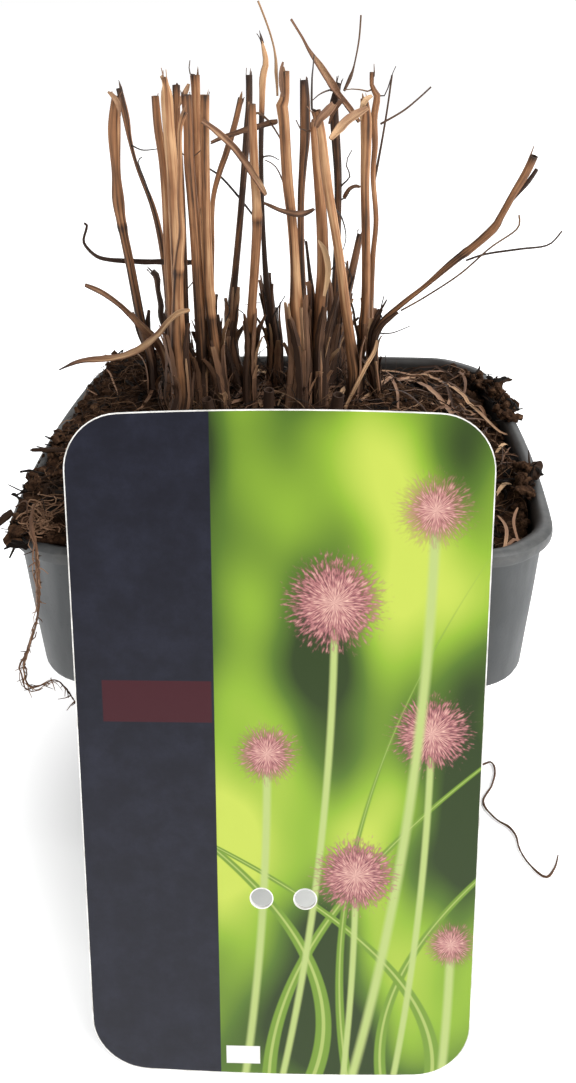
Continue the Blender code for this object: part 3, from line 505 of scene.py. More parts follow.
def makeLabel():
    width, length = labelShape["width"], labelShape["length"]
    bpy.ops.mesh.primitive_plane_add(size=1)
    card = bpy.context.object
    card.scale = (width * mm, length * mm, 1)
    card.location = (0, length / 2 * mm, 0)
    bpy.ops.object.transform_apply()
    for atTop in (True, False):
        bpy.ops.object.mode_set(mode="EDIT")
        shape = bmesh.from_edit_mesh(card.data)
        bpy.ops.mesh.select_all(action="DESELECT")
        for vert in shape.verts:
            vert.select = (vert.co.y > length * 0.9 * mm) if atTop else (vert.co.y < length * 0.02 * mm)
        shape.select_flush_mode()
        radius = labelShape["cornerTop"] if atTop else labelShape["cornerFoot"]
        bpy.ops.mesh.bevel(offset=radius * mm, segments=12, affect="VERTICES")
        bpy.ops.object.mode_set(mode="OBJECT")
    bpy.ops.object.mode_set(mode="EDIT")
    shape = bmesh.from_edit_mesh(card.data)
    for edge in shape.edges:
        edge.select = edge.calc_length() > 30 * mm
    bpy.ops.mesh.subdivide(number_cuts=11)
    bpy.ops.object.mode_set(mode="OBJECT")
    for vert in card.data.vertices:
        dip = labelShape["arch"] * (vert.co.x / mm / (width / 2)) ** 2
        if vert.co.y > length * 0.8 * mm:
            vert.co.y -= dip * mm
        elif vert.co.y < length * 0.2 * mm:
            vert.co.y += dip * mm
    wall = card.modifiers.new("card", "SOLIDIFY")
    wall.thickness = labelShape["thick"] * mm
    wall.offset = -1
    cutters = []
    for across, up in labelShape["holes"]:
        bpy.ops.mesh.primitive_cylinder_add(vertices=40, radius=labelShape["hole"] / 2 * mm, depth=4 * mm,
                                            location=(across * mm, up * mm, 0))
        cutters.append(bpy.context.object)
        cutting = card.modifiers.new("punched", "BOOLEAN")
        cutting.object = cutters[-1]
    applyAll(card)
    for cutter in cutters:
        bpy.data.objects.remove(cutter)
    # The print stops just short of the die cut
    choose(card)
    bpy.ops.object.mode_set(mode="EDIT")
    bpy.ops.mesh.select_mode(type="FACE")
    shape = bmesh.from_edit_mesh(card.data)
    for face in shape.faces:
        face.select = face.normal.z > 0.9
    bpy.ops.mesh.inset(thickness=labelShape["border"] * mm)
    shape = bmesh.from_edit_mesh(card.data)
    for face in shape.faces:
        face.material_index = 0 if face.select or face.normal.z < -0.9 else 1
    bpy.ops.mesh.select_mode(type="VERT")
    bpy.ops.object.mode_set(mode="OBJECT")
    # The map holds the card's own millimetres, a hundred to the unit, before it is set in place
    chart = card.data.uv_layers.active or card.data.uv_layers.new()
    for loop in card.data.loops:
        spot = card.data.vertices[loop.vertex_index].co / mm
        chart.data[loop.index].uv = (spot.x / 100, spot.y / 100)
    indices = [face.material_index for face in card.data.polygons]
    for vert in card.data.vertices:
        spot = vert.co / mm
        vert.co = labelPoint(spot.x, spot.y, spot.z) * mm
    finishPiece(card, "pictureLabel", labelFinish(), "label_card", "plant_label")
    card.data.materials.append(cutEdgeFinish())
    card.data.polygons.foreach_set("material_index", indices)
    return card


label = makeLabel()
print("label")


# The plant, read from the photograph: pixels of the 576 x 1083 picture and depths in millimetres
# behind the pot's middle. A stem: its foot on the crown (right, back), the foot's width, the depth
# of its tip, and its outline from the tip down as (pixel right, pixel down, pixels wide).
stemRoutes = {
    "stem_far_left": ((-29.5, 17.0), 1.7, 15.0,
        [(116, 96, 8), (114, 130, 12), (116, 172, 8.5), (118, 200, 11.5), (122, 226, 8.5),
         (131, 270, 8.5), (142, 327, 9), (151, 358, 8)]),
    "stem_thin_left": ((-26.0, 20.0), 1.5, 23.0,
        [(119, 88, 6), (126, 117, 7), (130, 140, 4.5), (138, 169, 3.6), (152, 204, 5.5),
         (160, 235, 6.5), (166, 275, 7), (170, 330, 7)]),
    "stem_grey_left": ((-25.2, 11.5), 1.8, 9.0,
        [(155, 96, 7), (158, 129, 8), (163, 163, 8), (166, 205, 8), (168, 260, 8), (172, 340, 9)]),
    "stem_pale_left": ((-22.8, 7.8), 2.2, 5.0,
        [(165, 77, 4), (166, 86, 7), (167, 97, 12), (169, 129, 12), (172, 163, 12), (174, 200, 12),
         (176, 250, 11), (179, 330, 11)]),
    "stem_front_left": ((-22.4, 2.4), 3.6, -1.0,
        [(185, 112, 6), (180, 129, 5), (180, 163, 4.5), (180, 198, 5.5), (182, 232, 7),
         (179, 260, 10), (178, 304, 12), (179, 345, 16), (183, 392, 18)]),
    "stem_dark_tip": ((-20.4, 13.2), 1.8, 12.0,
        [(176, 85, 8), (177, 124, 7), (179, 163, 8), (181, 200, 8), (183, 260, 8), (186, 340, 8)]),
    "stem_brown_left": ((-17.8, 8.6), 2.0, 6.0,
        [(186, 95, 10), (188, 130, 9), (189, 163, 10), (192, 198, 10), (195, 235, 10),
         (197, 270, 10), (201, 340, 11)]),
    "stem_tall_left": ((-15.4, 14.4), 3.8, 15.0,
        [(195, 75, 10), (196, 95, 9), (197, 152, 8), (198, 186, 8), (199, 235, 9),
         (202, 292, 10), (205, 320, 15), (211, 360, 17)]),
    "stem_jointed": ((-12.8, 8.0), 2.2, 6.5,
        [(205, 95, 9), (205, 129, 9), (206, 198, 9), (207, 240, 10), (209, 288, 11), (210, 298, 12),
         (211, 312, 9.5), (214, 338, 10), (219, 370, 11)]),
    "stem_slanted": ((-11.0, 21.0), 1.5, 27.0,
        [(241, 98, 6), (235, 124, 6), (227, 151, 6.5), (219, 174, 6), (213, 200, 5), (212, 240, 5),
         (214, 320, 6)]),
    "stem_dark_back": ((-11.6, 27.5), 2.0, 34.0,
        [(249, 75, 7), (249, 105, 7), (247, 131, 7.5), (243, 184, 6.5), (239, 232, 6.5),
         (234, 285, 7), (231, 322, 9), (230, 345, 11)]),
    "stem_tan": ((-8.0, 11.0), 2.6, 9.0,
        [(252, 104, 8), (253, 135, 9), (255, 178, 9), (257, 220, 10), (255, 262, 9.5),
         (252, 305, 9), (252, 311, 10.5), (251, 340, 8.5), (249, 372, 12)]),
    "stem_black": ((-3.0, 22.0), 2.0, 25.0,
        [(261, 39, 1.2), (264, 50, 4.5), (266, 63, 6), (263, 77, 7), (262, 104, 6), (261, 157, 5),
         (263, 225, 4.5), (266, 279, 6), (270, 312, 8), (275, 345, 11)]),
    "stem_straw": ((2.2, 9.0), 4.0, 9.0,
        [(285, 71, 9), (285, 96, 9), (282, 105, 12), (284, 120, 11), (286, 155, 11), (288, 184, 11),
         (292, 220, 10), (295, 262, 10), (296, 290, 12), (297, 318, 16), (300, 360, 18)]),
    "stem_split": ((2.0, 16.2), 2.0, 22.0,
        [(304, 80, 8), (305, 104, 10), (305, 138, 10), (303, 165, 8), (301, 200, 7), (301, 250, 7),
         (302, 320, 10)]),
    "stem_low_node": ((7.0, 9.6), 2.4, 13.0,
        [(313, 122, 6), (316, 157, 8), (319, 184, 10), (322, 228, 11), (323, 268, 12),
         (321, 305, 13), (318, 350, 11)]),
    "stem_tall_dark": ((8.8, 20.6), 1.8, 29.0,
        [(339, 83, 5), (336, 95, 8), (334, 108, 9), (336, 140, 9), (338, 175, 8), (338, 215, 7),
         (336, 280, 8), (331, 350, 9)]),
    "stem_leaning": ((13.6, 11.0), 2.4, 6.0,
        [(316, 111, 10), (321, 131, 9), (324, 158, 10), (328, 190, 10), (334, 224, 9),
         (340, 262, 9), (345, 302, 10), (349, 332, 10), (353, 362, 12), (354, 374, 11.5)]),
    "stem_right": ((15.2, 18.4), 2.0, 19.0,
        [(364, 98, 7), (366, 118, 11), (366, 148, 10.5), (365, 185, 9), (366, 240, 9), (366, 285, 9),
         (365, 314, 10), (364, 320, 11.5), (364, 338, 9), (361, 356, 8)]),
    "stem_far_right": ((18.2, 24.6), 1.5, 30.0,
        [(372, 72, 5), (372, 87, 4.5), (377, 96, 7), (374, 118, 7), (375, 145, 6), (373, 176, 5),
         (376, 220, 5), (373, 256, 5), (371, 310, 5)]),
    "stem_spreading": ((19.4, 17.4), 1.6, 6.0,
        [(534, 156, 8), (526, 173, 8), (514, 193, 7), (500, 218, 7), (494, 228, 8.5), (474, 246, 7.5),
         (458, 258, 7), (447, 267, 6.5), (425, 286, 4.5), (402, 304, 5), (380, 324, 5), (373, 346, 6)]),
    "stem_stub_curled": ((-21.5, 25.5), 1.4, 27.0,
        [(152, 271, 6), (157, 277, 7), (158, 290, 5), (161, 304, 6), (164, 325, 6)]),
    "stem_stub_dark": ((5.0, 26.0), 2.2, 28.0,
        [(306, 241, 2.5), (309, 268, 3.5), (312, 295, 6), (313, 325, 9)]),
    "stem_stub_right": ((11.4, 27.6), 2.2, 36.0,
        [(360, 234, 6), (355, 258, 7), (348, 290, 8), (341, 325, 9)]),
}

stubs = {
    "stub_front_left": ((-14.5, -0.5), 2.6, 6.4, (-0.8, -1.0)),
    "stub_front_middle": ((-3.5, 1.5), 2.4, 7.6, (0.4, -1.2)),
    "stub_front_right": ((9.6, 0.6), 2.8, 6.8, (1.0, -0.8)),
    "stub_back_left": ((-16.5, 28.0), 2.4, 17.0, (-1.5, 3.5)),
    "stub_back_middle": ((-4.0, 30.2), 2.2, 14.0, (0.6, 4.0)),
}

leafRoutes = {
    "leaf_arching_left": [
        (190, 310, 2.5, -0.9), (179, 313, 5, -1.0), (168, 322, 5, -0.6), (159, 333, 6, 0.0),
        (147, 344, 7, 0.8), (136, 351, 6.5, 1.4), (122, 356, 5.5, 2.0), (105, 359, 6, 2.6),
        (88, 360, 5, 3.2), (74, 363, 3.5, 3.6), (59, 370, 1.2, 4.0)],
    "leaf_forked": [
        (85, 285, 3, 5.0), (99, 291, 5, 6.0), (116, 302, 4.5, 7.4), (128, 313, 5, 8.6),
        (140, 325, 7, 10.0), (151, 336, 9, 11.4), (159, 346, 8, 12.8), (164, 358, 6, 14.0),
        (167, 374, 5, 15.2), (169, 388, 5, 16.0), (170, 395, 4, 16.2)],
    "leaf_black_curl": [
        (84, 223, 1.6, 19.6), (87, 226, 2, 19.6), (84, 237, 2, 19.4), (84, 243, 2.2, 19.2),
        (89, 250, 2.6, 19.0), (98, 257, 3.4, 18.8), (111, 260, 3.8, 18.6), (125, 261, 4.4, 18.5),
        (145, 262, 5, 18.6), (161, 262, 5, 18.6), (178, 262.5, 5, 16.7), (192, 262.5, 4.4, 15.6)],
    "leaf_bent_over": [
        (202, 121, 5, 5.0), (211, 127, 5.5, 5.0), (223, 137, 6.5, 5.6), (234, 148, 6.5, 6.2),
        (244, 161, 6.5, 6.9), (254, 176, 6.5, 7.6), (262, 188, 5.5, 8.0), (266, 195, 3, 8.6)],
    "leaf_crosswise": [
        (211, 142.6, 3, 22.0), (224, 137, 4.5, 20.0), (240, 132, 5.5, 17.4), (254, 128, 6.5, 14.6),
        (267, 124.5, 6, 12.0), (277, 122, 5, 10.4)],
    "leaf_diagonal": [
        (291, 19, 1.4, 26.0), (302, 37, 2, 26.4), (309, 50, 3, 26.8), (317, 62, 5.5, 27.0),
        (325, 74, 7.5, 27.2), (333, 86, 7.5, 27.3), (339, 95, 5.5, 27.2), (350, 109, 5.5, 26.4),
        (359, 122, 3, 25.0)],
    "leaf_wide_strap": [
        (368, 108, 4, 17.4), (357, 114, 8, 14.6), (346, 122, 9, 12.4), (337, 132, 7.5, 10.2),
        (330.5, 139, 4, 8.4)],
    "leaf_collar": [
        (316, 127, 4, 4.2), (320, 119, 7, 4.2), (328, 111, 8, 5.0), (334, 104, 6, 6.2)],
    "leaf_curled_right": [
        (344, 198, 3.5, 25.2), (349, 190, 5, 23.4), (355, 186.5, 4, 21.4), (359.5, 187, 2.5, 19.8)],
    "leaf_wrapped": [
        (264, 203, 2, 9.2), (275, 208, 3.5, 7.6), (286, 212, 4.5, 6.9), (299, 214.5, 6, 7.2),
        (308, 212, 4.5, 9.2), (314, 209, 2.5, 11.2)],
    "leaf_pale_foot": [
        (377, 340, 2, 14.2), (374, 352, 3.5, 13.0), (366, 366, 3.5, 10.4), (356, 386, 3.5, 8.6),
        (345, 408, 3, 8.0)],
}

wireRoutes = {
    "awn_tallest": [
        (258, 1, 1.4, 6.0), (264, 16, 1.6, 6.6), (270, 33, 1.6, 7.2), (274, 48, 1.8, 7.8),
        (276, 62, 3, 8.3), (276, 71, 3.6, 8.6), (277, 86, 2.6, 8.8), (277.4, 96, 2.2, 8.9)],
    "awn_right_tall": [
        (361, 15, 1.4, 31.0), (359, 40, 1.5, 30.6), (354, 66, 1.8, 30.0), (350, 78, 4, 29.4),
        (344, 91, 2.6, 28.9)],
    "awn_far_right": [
        (431, 87, 1.6, 32.6), (419, 98, 1.8, 31.8), (403, 111, 2, 30.8), (380.5, 124, 2.2, 29.6)],
    "wire_right": [
        (392, 75, 2, 32.0), (388, 104, 2, 31.3), (383, 135, 2.2, 30.6), (377, 168, 2.6, 29.6),
        (373, 190, 2, 28.9)],
    "wire_spreading_long": [
        (562, 231, 1.8, 7.0), (548, 245, 2, 7.6), (520, 249, 2.4, 8.6), (486, 254, 2.4, 10.0),
        (466, 260.5, 2.2, 10.8)],
    "wire_spreading_low": [
        (519, 215, 1.6, 6.8), (517, 229, 2, 6.9), (490, 248, 2, 8.2), (460, 274, 2, 9.8),
        (425, 297, 2, 12.0), (401, 310.5, 2, 13.4)],
    "wire_behind_left": [
        (208, 168, 2, 25.4), (221, 177, 2.2, 26.8), (238, 196, 2.4, 32.8), (252, 214, 2, 33.4)],
}

spreadingStub = [(537, 169, 4, 7.4), (528, 182, 4.5, 7.6), (517, 194, 4, 7.9),
                  (510, 203, 2.5, 8.1)]

rootOverRim = [
    (34, 505, 3, -36.6), (31, 520, 6, -41.2), (33, 535, 7, -45.4), (36, 549, 6, -47.9),
    (38, 570, 5.5, -47.4), (39, 590, 5, -46.6), (38, 610, 4, -46.3), (35, 628, 3.5, -46.0),
    (29, 646, 4, -45.6), (25, 658, 5, -45.6), (24, 672, 2.4, -45.6), (30, 687, 2.2, -46.0),
    (42, 685, 2.2, -46.6), (54, 680, 2.4, -47.4), (64, 686, 2.2, -48.2), (74, 700, 2, -49.0),
    (84, 712, 1.6, -50.0)]


rootOnFloor = [
    (455, 771, 2.0), (470, 769, 2.4), (484, 764, 2.2), (491, 762, 2), (495, 770, 2), (492, 785, 2),
    (483, 802, 2.2), (495, 818, 2), (509, 827, 2.4), (516, 836, 2), (520, 850, 1.8), (531, 866, 2),
    (546, 877, 3), (555, 867, 2), (558, 855, 1.6)]

barkChips = {
    "bark_chip_back_right": ((47.6, 26.8, 91.1), 7.0, 1.8, 31.0, -6.0),
    "bark_chip_right": ((46.2, -18.6, 91.3), 5.4, 2.6, 70.0, 10.0),
    "bark_chip_left_front": ((-45.0, -12.0, 92.1), 8.0, 1.3, 172.0, -4.0),
    "bark_chip_left_corner": ((-45.4, -38.8, 92.3), 5.0, 1.6, 70.0, 10.0),
}


def curveThrough(values, steps):
    # A smooth run through rows of numbers, steps rows for each gap between them
    rows = [values[0]] + list(values) + [values[-1]]
    smooth = []
    for a, b, c, d in zip(rows, rows[1:], rows[2:], rows[3:]):
        for i in range(steps):
            t = i / steps
            smooth.append([0.5 * (2 * q + (r - p) * t + (2 * p - 5 * q + 4 * r - s) * t * t
                                  + (3 * q - p - 3 * r + s) * t ** 3)
                           for p, q, r, s in zip(a, b, c, d)])
    smooth.append(list(values[-1]))
    return smooth


def smoothStrand(points, widths, spacing):
    # Points about spacing millimetres apart on a smooth curve, with their widths and lengths so far
    rows = [list(point) + [width] for point, width in zip(points, widths)]
    fine = curveThrough(rows, 12)
    lengths = [0.0]
    for a, b in zip(fine, fine[1:]):
        lengths.append(lengths[-1] + (Vector(b[:3]) - Vector(a[:3])).length)
    count = max(int(lengths[-1] / spacing), 3)
    strand, k = [], 0
    for i in range(count + 1):
        aim = lengths[-1] * i / count
        while k < len(fine) - 2 and lengths[k + 1] < aim:
            k += 1
        t = (aim - lengths[k]) / max(lengths[k + 1] - lengths[k], 1e-9)
        row = [a + (b - a) * min(max(t, 0), 1) for a, b in zip(fine[k], fine[k + 1])]
        strand.append((Vector(row[:3]), row[3], aim))
    return strand


def stemStrand(name, spacing):
    (footX, footY), footWidth, tipDepth, outline = stemRoutes[name]
    top = outline[0][1]
    reach = outline[-1][1] - top + 40
    points, widths = [], []
    for px, py, wide in outline:
        share = 1 - (py - top) / reach
        point = atDepth(px, py, footY + (tipDepth - footY) * share)
        points.append(point)
        widths.append(pixelsToMm(wide, point))
    points.append(Vector((footX, footY, crownTop + 0.3)))
    widths.append(footWidth)
    return smoothStrand(points, widths, spacing)


def seenStrand(outline, spacing):
    points = [atDepth(px, py, depth) for px, py, wide, depth in outline]
    widths = [max(pixelsToMm(row[2], point), 0.35) for row, point in zip(outline, points)]
    return smoothStrand(points, widths, spacing)


def framesAlong(strand, facing):
    # Across, outward and ahead at each point. A blade faces the given way, and a round stem
    # carries its directions along without twisting.
    frames = []
    across = Vector((1, 0.02, 0.03))
    points = [row[0] for row in strand]
    for i, point in enumerate(points):
        ahead = (points[min(i + 1, len(points) - 1)] - points[max(i - 1, 0)]).normalized()
        if facing:
            across = ahead.cross(facing)
        across = (across - ahead * across.dot(ahead)).normalized()
        frames.append((across, across.cross(ahead).normalized(), ahead))
    return frames


def rollGrid(strand, frames, columns, section, closed, tone):
    # A grid laid along a strand. section(row share, column share, width) gives a point's offset
    # across and outward in millimetres, and tone(length so far, whole length, column share) how
    # dark it is.
    rows = len(strand) - 1
    bpy.ops.mesh.primitive_grid_add(x_subdivisions=columns, y_subdivisions=rows, size=1)
    piece = bpy.context.object
    tones = piece.data.attributes.new("tone", "FLOAT", "POINT")
    whole = strand[-1][2]
    for vert in piece.data.vertices:
        row = round((vert.co.y + 0.5) * rows)
        column = round((vert.co.x + 0.5) * columns) % (columns if closed else columns + 1)
        point, width, length = strand[row]
        across, outward, ahead = frames[row]
        offX, offY = section(row / rows, column / columns, width)
        vert.co = (point + across * offX + outward * offY) * mm
        tones.data[vert.index].value = tone(length, whole, column / columns)
    chart = piece.data.uv_layers.active
    for corner in chart.data:
        corner.uv = (corner.uv[0], corner.uv[1] * whole / 10)
    bpy.ops.object.mode_set(mode="EDIT")
    bpy.ops.mesh.select_all(action="SELECT")
    if closed:
        bpy.ops.mesh.remove_doubles(threshold=0.000004)
        bpy.ops.mesh.fill_holes(sides=0)
    bpy.ops.mesh.normals_make_consistent(inside=False)
    bpy.ops.object.mode_set(mode="OBJECT")
    return piece


# Stems. Dry grass culm: satin straw with long fibres, darker at the joints, and darker at the foot, partly
# weathered and partly painted shade of the crowded crown
stemSet = {"columns": 26, "spacing": 1.1, "jointSwell": 0.16, "jointReach": 0.8,
           "hollowDepth": 1.4, "rimShare": 0.24, "footLength": 30, "footDarkAndShade": 0.56, "tipLength": 1.6,
           "tipDark": 0.25, "ringDark": 0.28, "stainDark": 0.22, "stainLength": 6, "flapLength": 13}
# How dark each stem is, from 0 for fresh straw to 1 for weathered, and the rows of its joints
stemLooks = {
    "stem_far_left": (0.45, (207,)), "stem_thin_left": (0.55, ()), "stem_grey_left": (0.35, ()),
    "stem_pale_left": (0.15, ()), "stem_front_left": (0.25, (250,)), "stem_dark_tip": (0.6, ()),
    "stem_brown_left": (0.5, ()), "stem_tall_left": (0.3, ()), "stem_jointed": (0.25, (292,)),
    "stem_slanted": (0.45, ()), "stem_dark_back": (0.7, ()), "stem_tan": (0.25, (311, 200)),
    "stem_black": (0.9, ()), "stem_straw": (0.25, ()), "stem_split": (0.55, ()),
    "stem_low_node": (0.4, ()), "stem_tall_dark": (0.7, ()), "stem_leaning": (0.25, ()),
    "stem_right": (0.3, (320,)), "stem_far_right": (0.42, ()), "stem_spreading": (0.5, (228,)),
    "stem_stub_curled": (0.7, ()), "stem_stub_dark": (0.9, ()), "stem_stub_right": (0.6, ())}
# Stems with a pale flap of sheath at the top, and how much paler it is
paleTips = {"stem_black": 0.95}


def strawFinish(name, pale, middle, dark, gloss=0.3):
    # Fibres run along the map's V, which counts centimetres, and U goes once round the stem
    finish, tree, shader = newMaterial(name)
    chart = addNode(tree, "ShaderNodeUVMap").outputs["UV"]
    place = addNode(tree, "ShaderNodeTexCoord").outputs["Object"]
    drawn = addNode(tree, "ShaderNodeMapping", None, Vector=chart, Scale=(22.0, 0.8, 1.0))
    fibres = addNode(tree, "ShaderNodeTexNoise", None, Vector=drawn.outputs["Vector"], Scale=1.0, Detail=4.0)
    patches = addNode(tree, "ShaderNodeTexNoise", None, Vector=place, Scale=1 / (7 * mm), Detail=3.0)
    tone = addNode(tree, "ShaderNodeAttribute", {"attribute_name": "tone"}).outputs["Fac"]
    mixed = addNode(tree, "ShaderNodeMath", {"operation": "MULTIPLY_ADD"}, i0=fibres.outputs["Fac"],
                    i1=0.8, i2=tone)
    mixed = addNode(tree, "ShaderNodeMath", {"operation": "MULTIPLY_ADD"}, i0=patches.outputs["Fac"],
                    i1=0.5, i2=mixed.outputs[0])
    centred = addNode(tree, "ShaderNodeMath", {"operation": "SUBTRACT"}, i0=mixed.outputs[0], i1=0.45)
    shade = addNode(tree, "ShaderNodeValToRGB", {"stops": ((0.2, pale), (0.55, middle), (0.95, dark))},
                    Fac=centred.outputs[0])
    tree.links.new(shade.outputs["Color"], shader.inputs["Base Color"])
    shader.inputs["Roughness"].default_value = 0.6
    shader.inputs["Specular IOR Level"].default_value = gloss
    bump = addNode(tree, "ShaderNodeBump", None, Height=fibres.outputs["Fac"], Strength=0.5,
                   Distance=0.15 * mm)
    tree.links.new(bump.outputs["Normal"], shader.inputs["Normal"])
    return finish


straw = strawFinish("dryGrassCulm", "#D0A57B", "#9B6C49", "#35241A")


def makeStem(name, strand, looks):
    darkness, joints, seed = looks
    phase = random.Random(seed).uniform(0, 6.28)
    swollen = []
    for point, width, length in strand:
        swell = sum(math.exp(-((length - joint) / stemSet["jointReach"]) ** 2) for joint in joints)
        swollen.append((point, width * (1 + stemSet["jointSwell"] * swell), length))

    def section(rowShare, columnShare, width):
        angle = 2 * math.pi * columnShare
        # A rolled sheath: its edge laps over itself along a seam that winds slowly
        lap = ((angle + phase + 1.3 * rowShare) / (2 * math.pi)) % 1
        radius = width / 2 * (0.96 + 0.1 * lap + 0.045 * math.cos(2 * angle + phase + 3 * rowShare)
                              + 0.025 * math.cos(7 * angle + phase))
        return radius * math.cos(angle), radius * math.sin(angle)

    def tone(length, whole, columnShare):
        # Painted shade along the lapped edge, standing in for the shaded gaps between crowded stems, with
        # long faint bands where the sheath has weathered
        angle = 2 * math.pi * columnShare
        lap = ((angle + phase + 1.3 * length / whole) / (2 * math.pi)) % 1
        edge = 0.38 * math.exp(-(min(lap, 1 - lap) / 0.045) ** 2)
        x, y = math.cos(angle), math.sin(angle)
        band = 0.3 * noise.noise(Vector((2.2 * x, 2.2 * y, length * 0.07 + seed)))
        band += 0.16 * noise.noise(Vector((5 * x, 5 * y, length * 0.25 + seed)))
        # Darker towards the foot: partly weathered sheath, partly painted shade deep in the crown
        foot = max(1 - (whole - length) / stemSet["footLength"], 0) ** 1.6 * stemSet["footDarkAndShade"]
        tip = max(1 - length / stemSet["tipLength"], 0) * stemSet["tipDark"]
        # A joint is a crisp dark ring, and the stem under it is stained
        ring = sum(stemSet["ringDark"] * math.exp(-((length - joint - 0.5) / 0.45) ** 2)
                   + (stemSet["stainDark"] * math.exp((joint - length) / stemSet["stainLength"])
                      if length > joint else 0) for joint in joints)
        fresh = paleTips.get(name, 0) * max(1 - length / stemSet["flapLength"], 0) ** 0.3
        return darkness + foot + tip + ring + edge + band - fresh

    stem = rollGrid(swollen, framesAlong(strand, None), stemSet["columns"], section, True, tone)
    # The cut end: the pith has shrunk away from a thin wall
    tipPoint, tipWidth, start = swollen[0]
    if tipWidth > 0.9:
        ahead = (strand[1][0] - tipPoint).normalized()
        bpy.ops.object.mode_set(mode="EDIT")
        shape = bmesh.from_edit_mesh(stem.data)
        bpy.ops.mesh.select_all(action="DESELECT")
        bpy.ops.mesh.select_mode(type="FACE")
        end = min((face for face in shape.faces if len(face.verts) > 8),
                  key=lambda face: (face.calc_center_median() / mm - tipPoint).length)
        end.select = True
        bpy.ops.mesh.inset(thickness=tipWidth * stemSet["rimShare"] / 2 * mm)
        inward = ahead * stemSet["hollowDepth"] * mm
        bpy.ops.mesh.extrude_region_move(TRANSFORM_OT_translate={"value": inward[:]})
        bpy.ops.transform.resize(value=(0.7, 0.7, 0.7), center_override=((tipPoint * mm) + inward)[:])
        bpy.ops.mesh.select_mode(type="VERT")
        bpy.ops.object.mode_set(mode="OBJECT")
    choose(stem)
    bpy.ops.object.shade_smooth_by_angle(angle=math.radians(50))
    return stem


def jointLengths(name, strand):
    # Lengths along the strand at which the photograph shows a joint, from its pixel rows
    found = []
    for row in stemLooks[name][1]:
        span = [entry[1] for entry in stemRoutes[name][3]]
        share = (row - span[0]) / (span[-1] - span[0])
        found.append(strand[-1][2] * min(max(share, 0), 1) * 0.93)
    return found


for index, name in enumerate(stemRoutes):
    strand = stemStrand(name, stemSet["spacing"])
    stem = makeStem(name, strand, (stemLooks[name][0], jointLengths(name, strand), index))
    if name == "stem_spreading":
        side = makeStem("side", seenStrand(spreadingStub, stemSet["spacing"]), (0.5, (), 77))
        deselectAll()
        side.select_set(True)
        stem.select_set(True)
        bpy.context.view_layer.objects.active = stem
        bpy.ops.object.join()
    finishPiece(stem, "culm_" + name, straw, "dry_stem", name)
for index, (name, (foot, width, height, lean)) in enumerate(stubs.items()):
    base = Vector((foot[0], foot[1], crownTop + 0.3))
    grow = Vector((lean[0], lean[1], height))
    strand = smoothStrand([base + grow, base + grow * 0.5, base], [width * 0.85, width * 0.9, width], 0.9)
    stem = makeStem(name, strand, (0.75, (), 40 + index))
    finishPiece(stem, "culm_" + name, straw, "dry_stem", name)
print("stems")


# Leaves and loose sheaths. Dry blades: paper thin, curled, ribbed along their length
leafSet = {"columns": 8, "spacing": 0.7, "thick": 0.2, "curl": 0.34}
# How far a blade has withered to grey at its far end, and the blades that narrow there to a shred
witheredTips = {"leaf_arching_left": 0.9}
wornEnds = ("leaf_arching_left",)
driedLeaf = strawFinish("driedGrassBlade", "#C4A07A", "#86624A", "#3D2A1F")


def makeBlade(name, strand, darkness, seed):
    def section(rowShare, columnShare, width):
        # The blade is creased along its middle and its edges wander
        offset = columnShare * 2 - 1
        wander = 1 + 0.16 * noise.noise(Vector((rowShare * len(strand) * 0.35, offset * 1.5, seed * 3)))
        if name in wornEnds:
            wander *= min(0.15 + (1 - rowShare) * 9, 1)
        fold = leafSet["curl"] * (1 + 0.9 * noise.noise(Vector((rowShare * 5, seed * 2, 0))))
        return offset * width / 2 * wander, fold * width * (0.5 - abs(offset) ** 1.4)

    def tone(length, whole, columnShare):
        # Weathered along both edges, in patches, and most at the withered tip
        edge = 0.22 * abs(columnShare * 2 - 1) ** 3
        patch = 0.3 * noise.noise(Vector((columnShare * 2, length * 0.16, seed * 5)))
        return darkness + edge + patch + witheredTips.get(name, 0) * (length / whole) ** 4

    blade = rollGrid(strand, framesAlong(strand, forward), leafSet["columns"], section, False, tone)
    wall = blade.modifiers.new("blade", "SOLIDIFY")
    wall.thickness = leafSet["thick"] * mm
    wall.offset = 0
    applyAll(blade)
    bpy.ops.object.shade_smooth_by_angle(angle=math.radians(60))
    return blade


leafLooks = {"leaf_arching_left": 0.05, "leaf_forked": 0.35, "leaf_black_curl": 0.95, "leaf_bent_over": 0.3,
             "leaf_crosswise": 0.35, "leaf_diagonal": 0.25, "leaf_wide_strap": 0.1, "leaf_collar": 0.3,
             "leaf_curled_right": 0.3, "leaf_wrapped": 0.5, "leaf_pale_foot": 0.0}
for index, (name, outline) in enumerate(leafRoutes.items()):
    blade = makeBlade(name, seenStrand(outline, leafSet["spacing"]), leafLooks[name], index)
    finishPiece(blade, "blade_" + name[5:], driedLeaf, "dry_leaf", name)
print("leaves")


# Wiry stalks and awns: thin, springy and nearly black where they have weathered
stalkFinish = strawFinish("weatheredStalk", "#B08A66", "#5A4232", "#1D1511")
stalkSet = {"columns": 6, "spacing": 0.9}
stalkLooks = {"awn_tallest": 0.1, "awn_right_tall": 0.35, "awn_far_right": 0.45, "wire_right": 0.5,
              "wire_spreading_long": 0.6, "wire_spreading_low": 0.3, "wire_behind_left": 0.7}


def makeStalk(strand, darkness, knobs=0.0, seed=0):
    def section(rowShare, columnShare, width):
        angle = 2 * math.pi * columnShare
        bump = 1 + knobs * noise.noise(Vector((rowShare * len(strand) * 0.6, columnShare * 3, seed)))
        return width / 2 * bump * math.cos(angle), width / 2 * bump * math.sin(angle)

    stalk = rollGrid(strand, framesAlong(strand, None), stalkSet["columns"], section, True,
                     lambda length, whole, columnShare: darkness)
    bpy.ops.object.shade_smooth()
    return stalk


for name, outline in wireRoutes.items():
    stalk = makeStalk(seenStrand(outline, stalkSet["spacing"]), stalkLooks[name])
    finishPiece(stalk, "stalk_" + name, stalkFinish, "dry_stalk", name)
print("stalks")


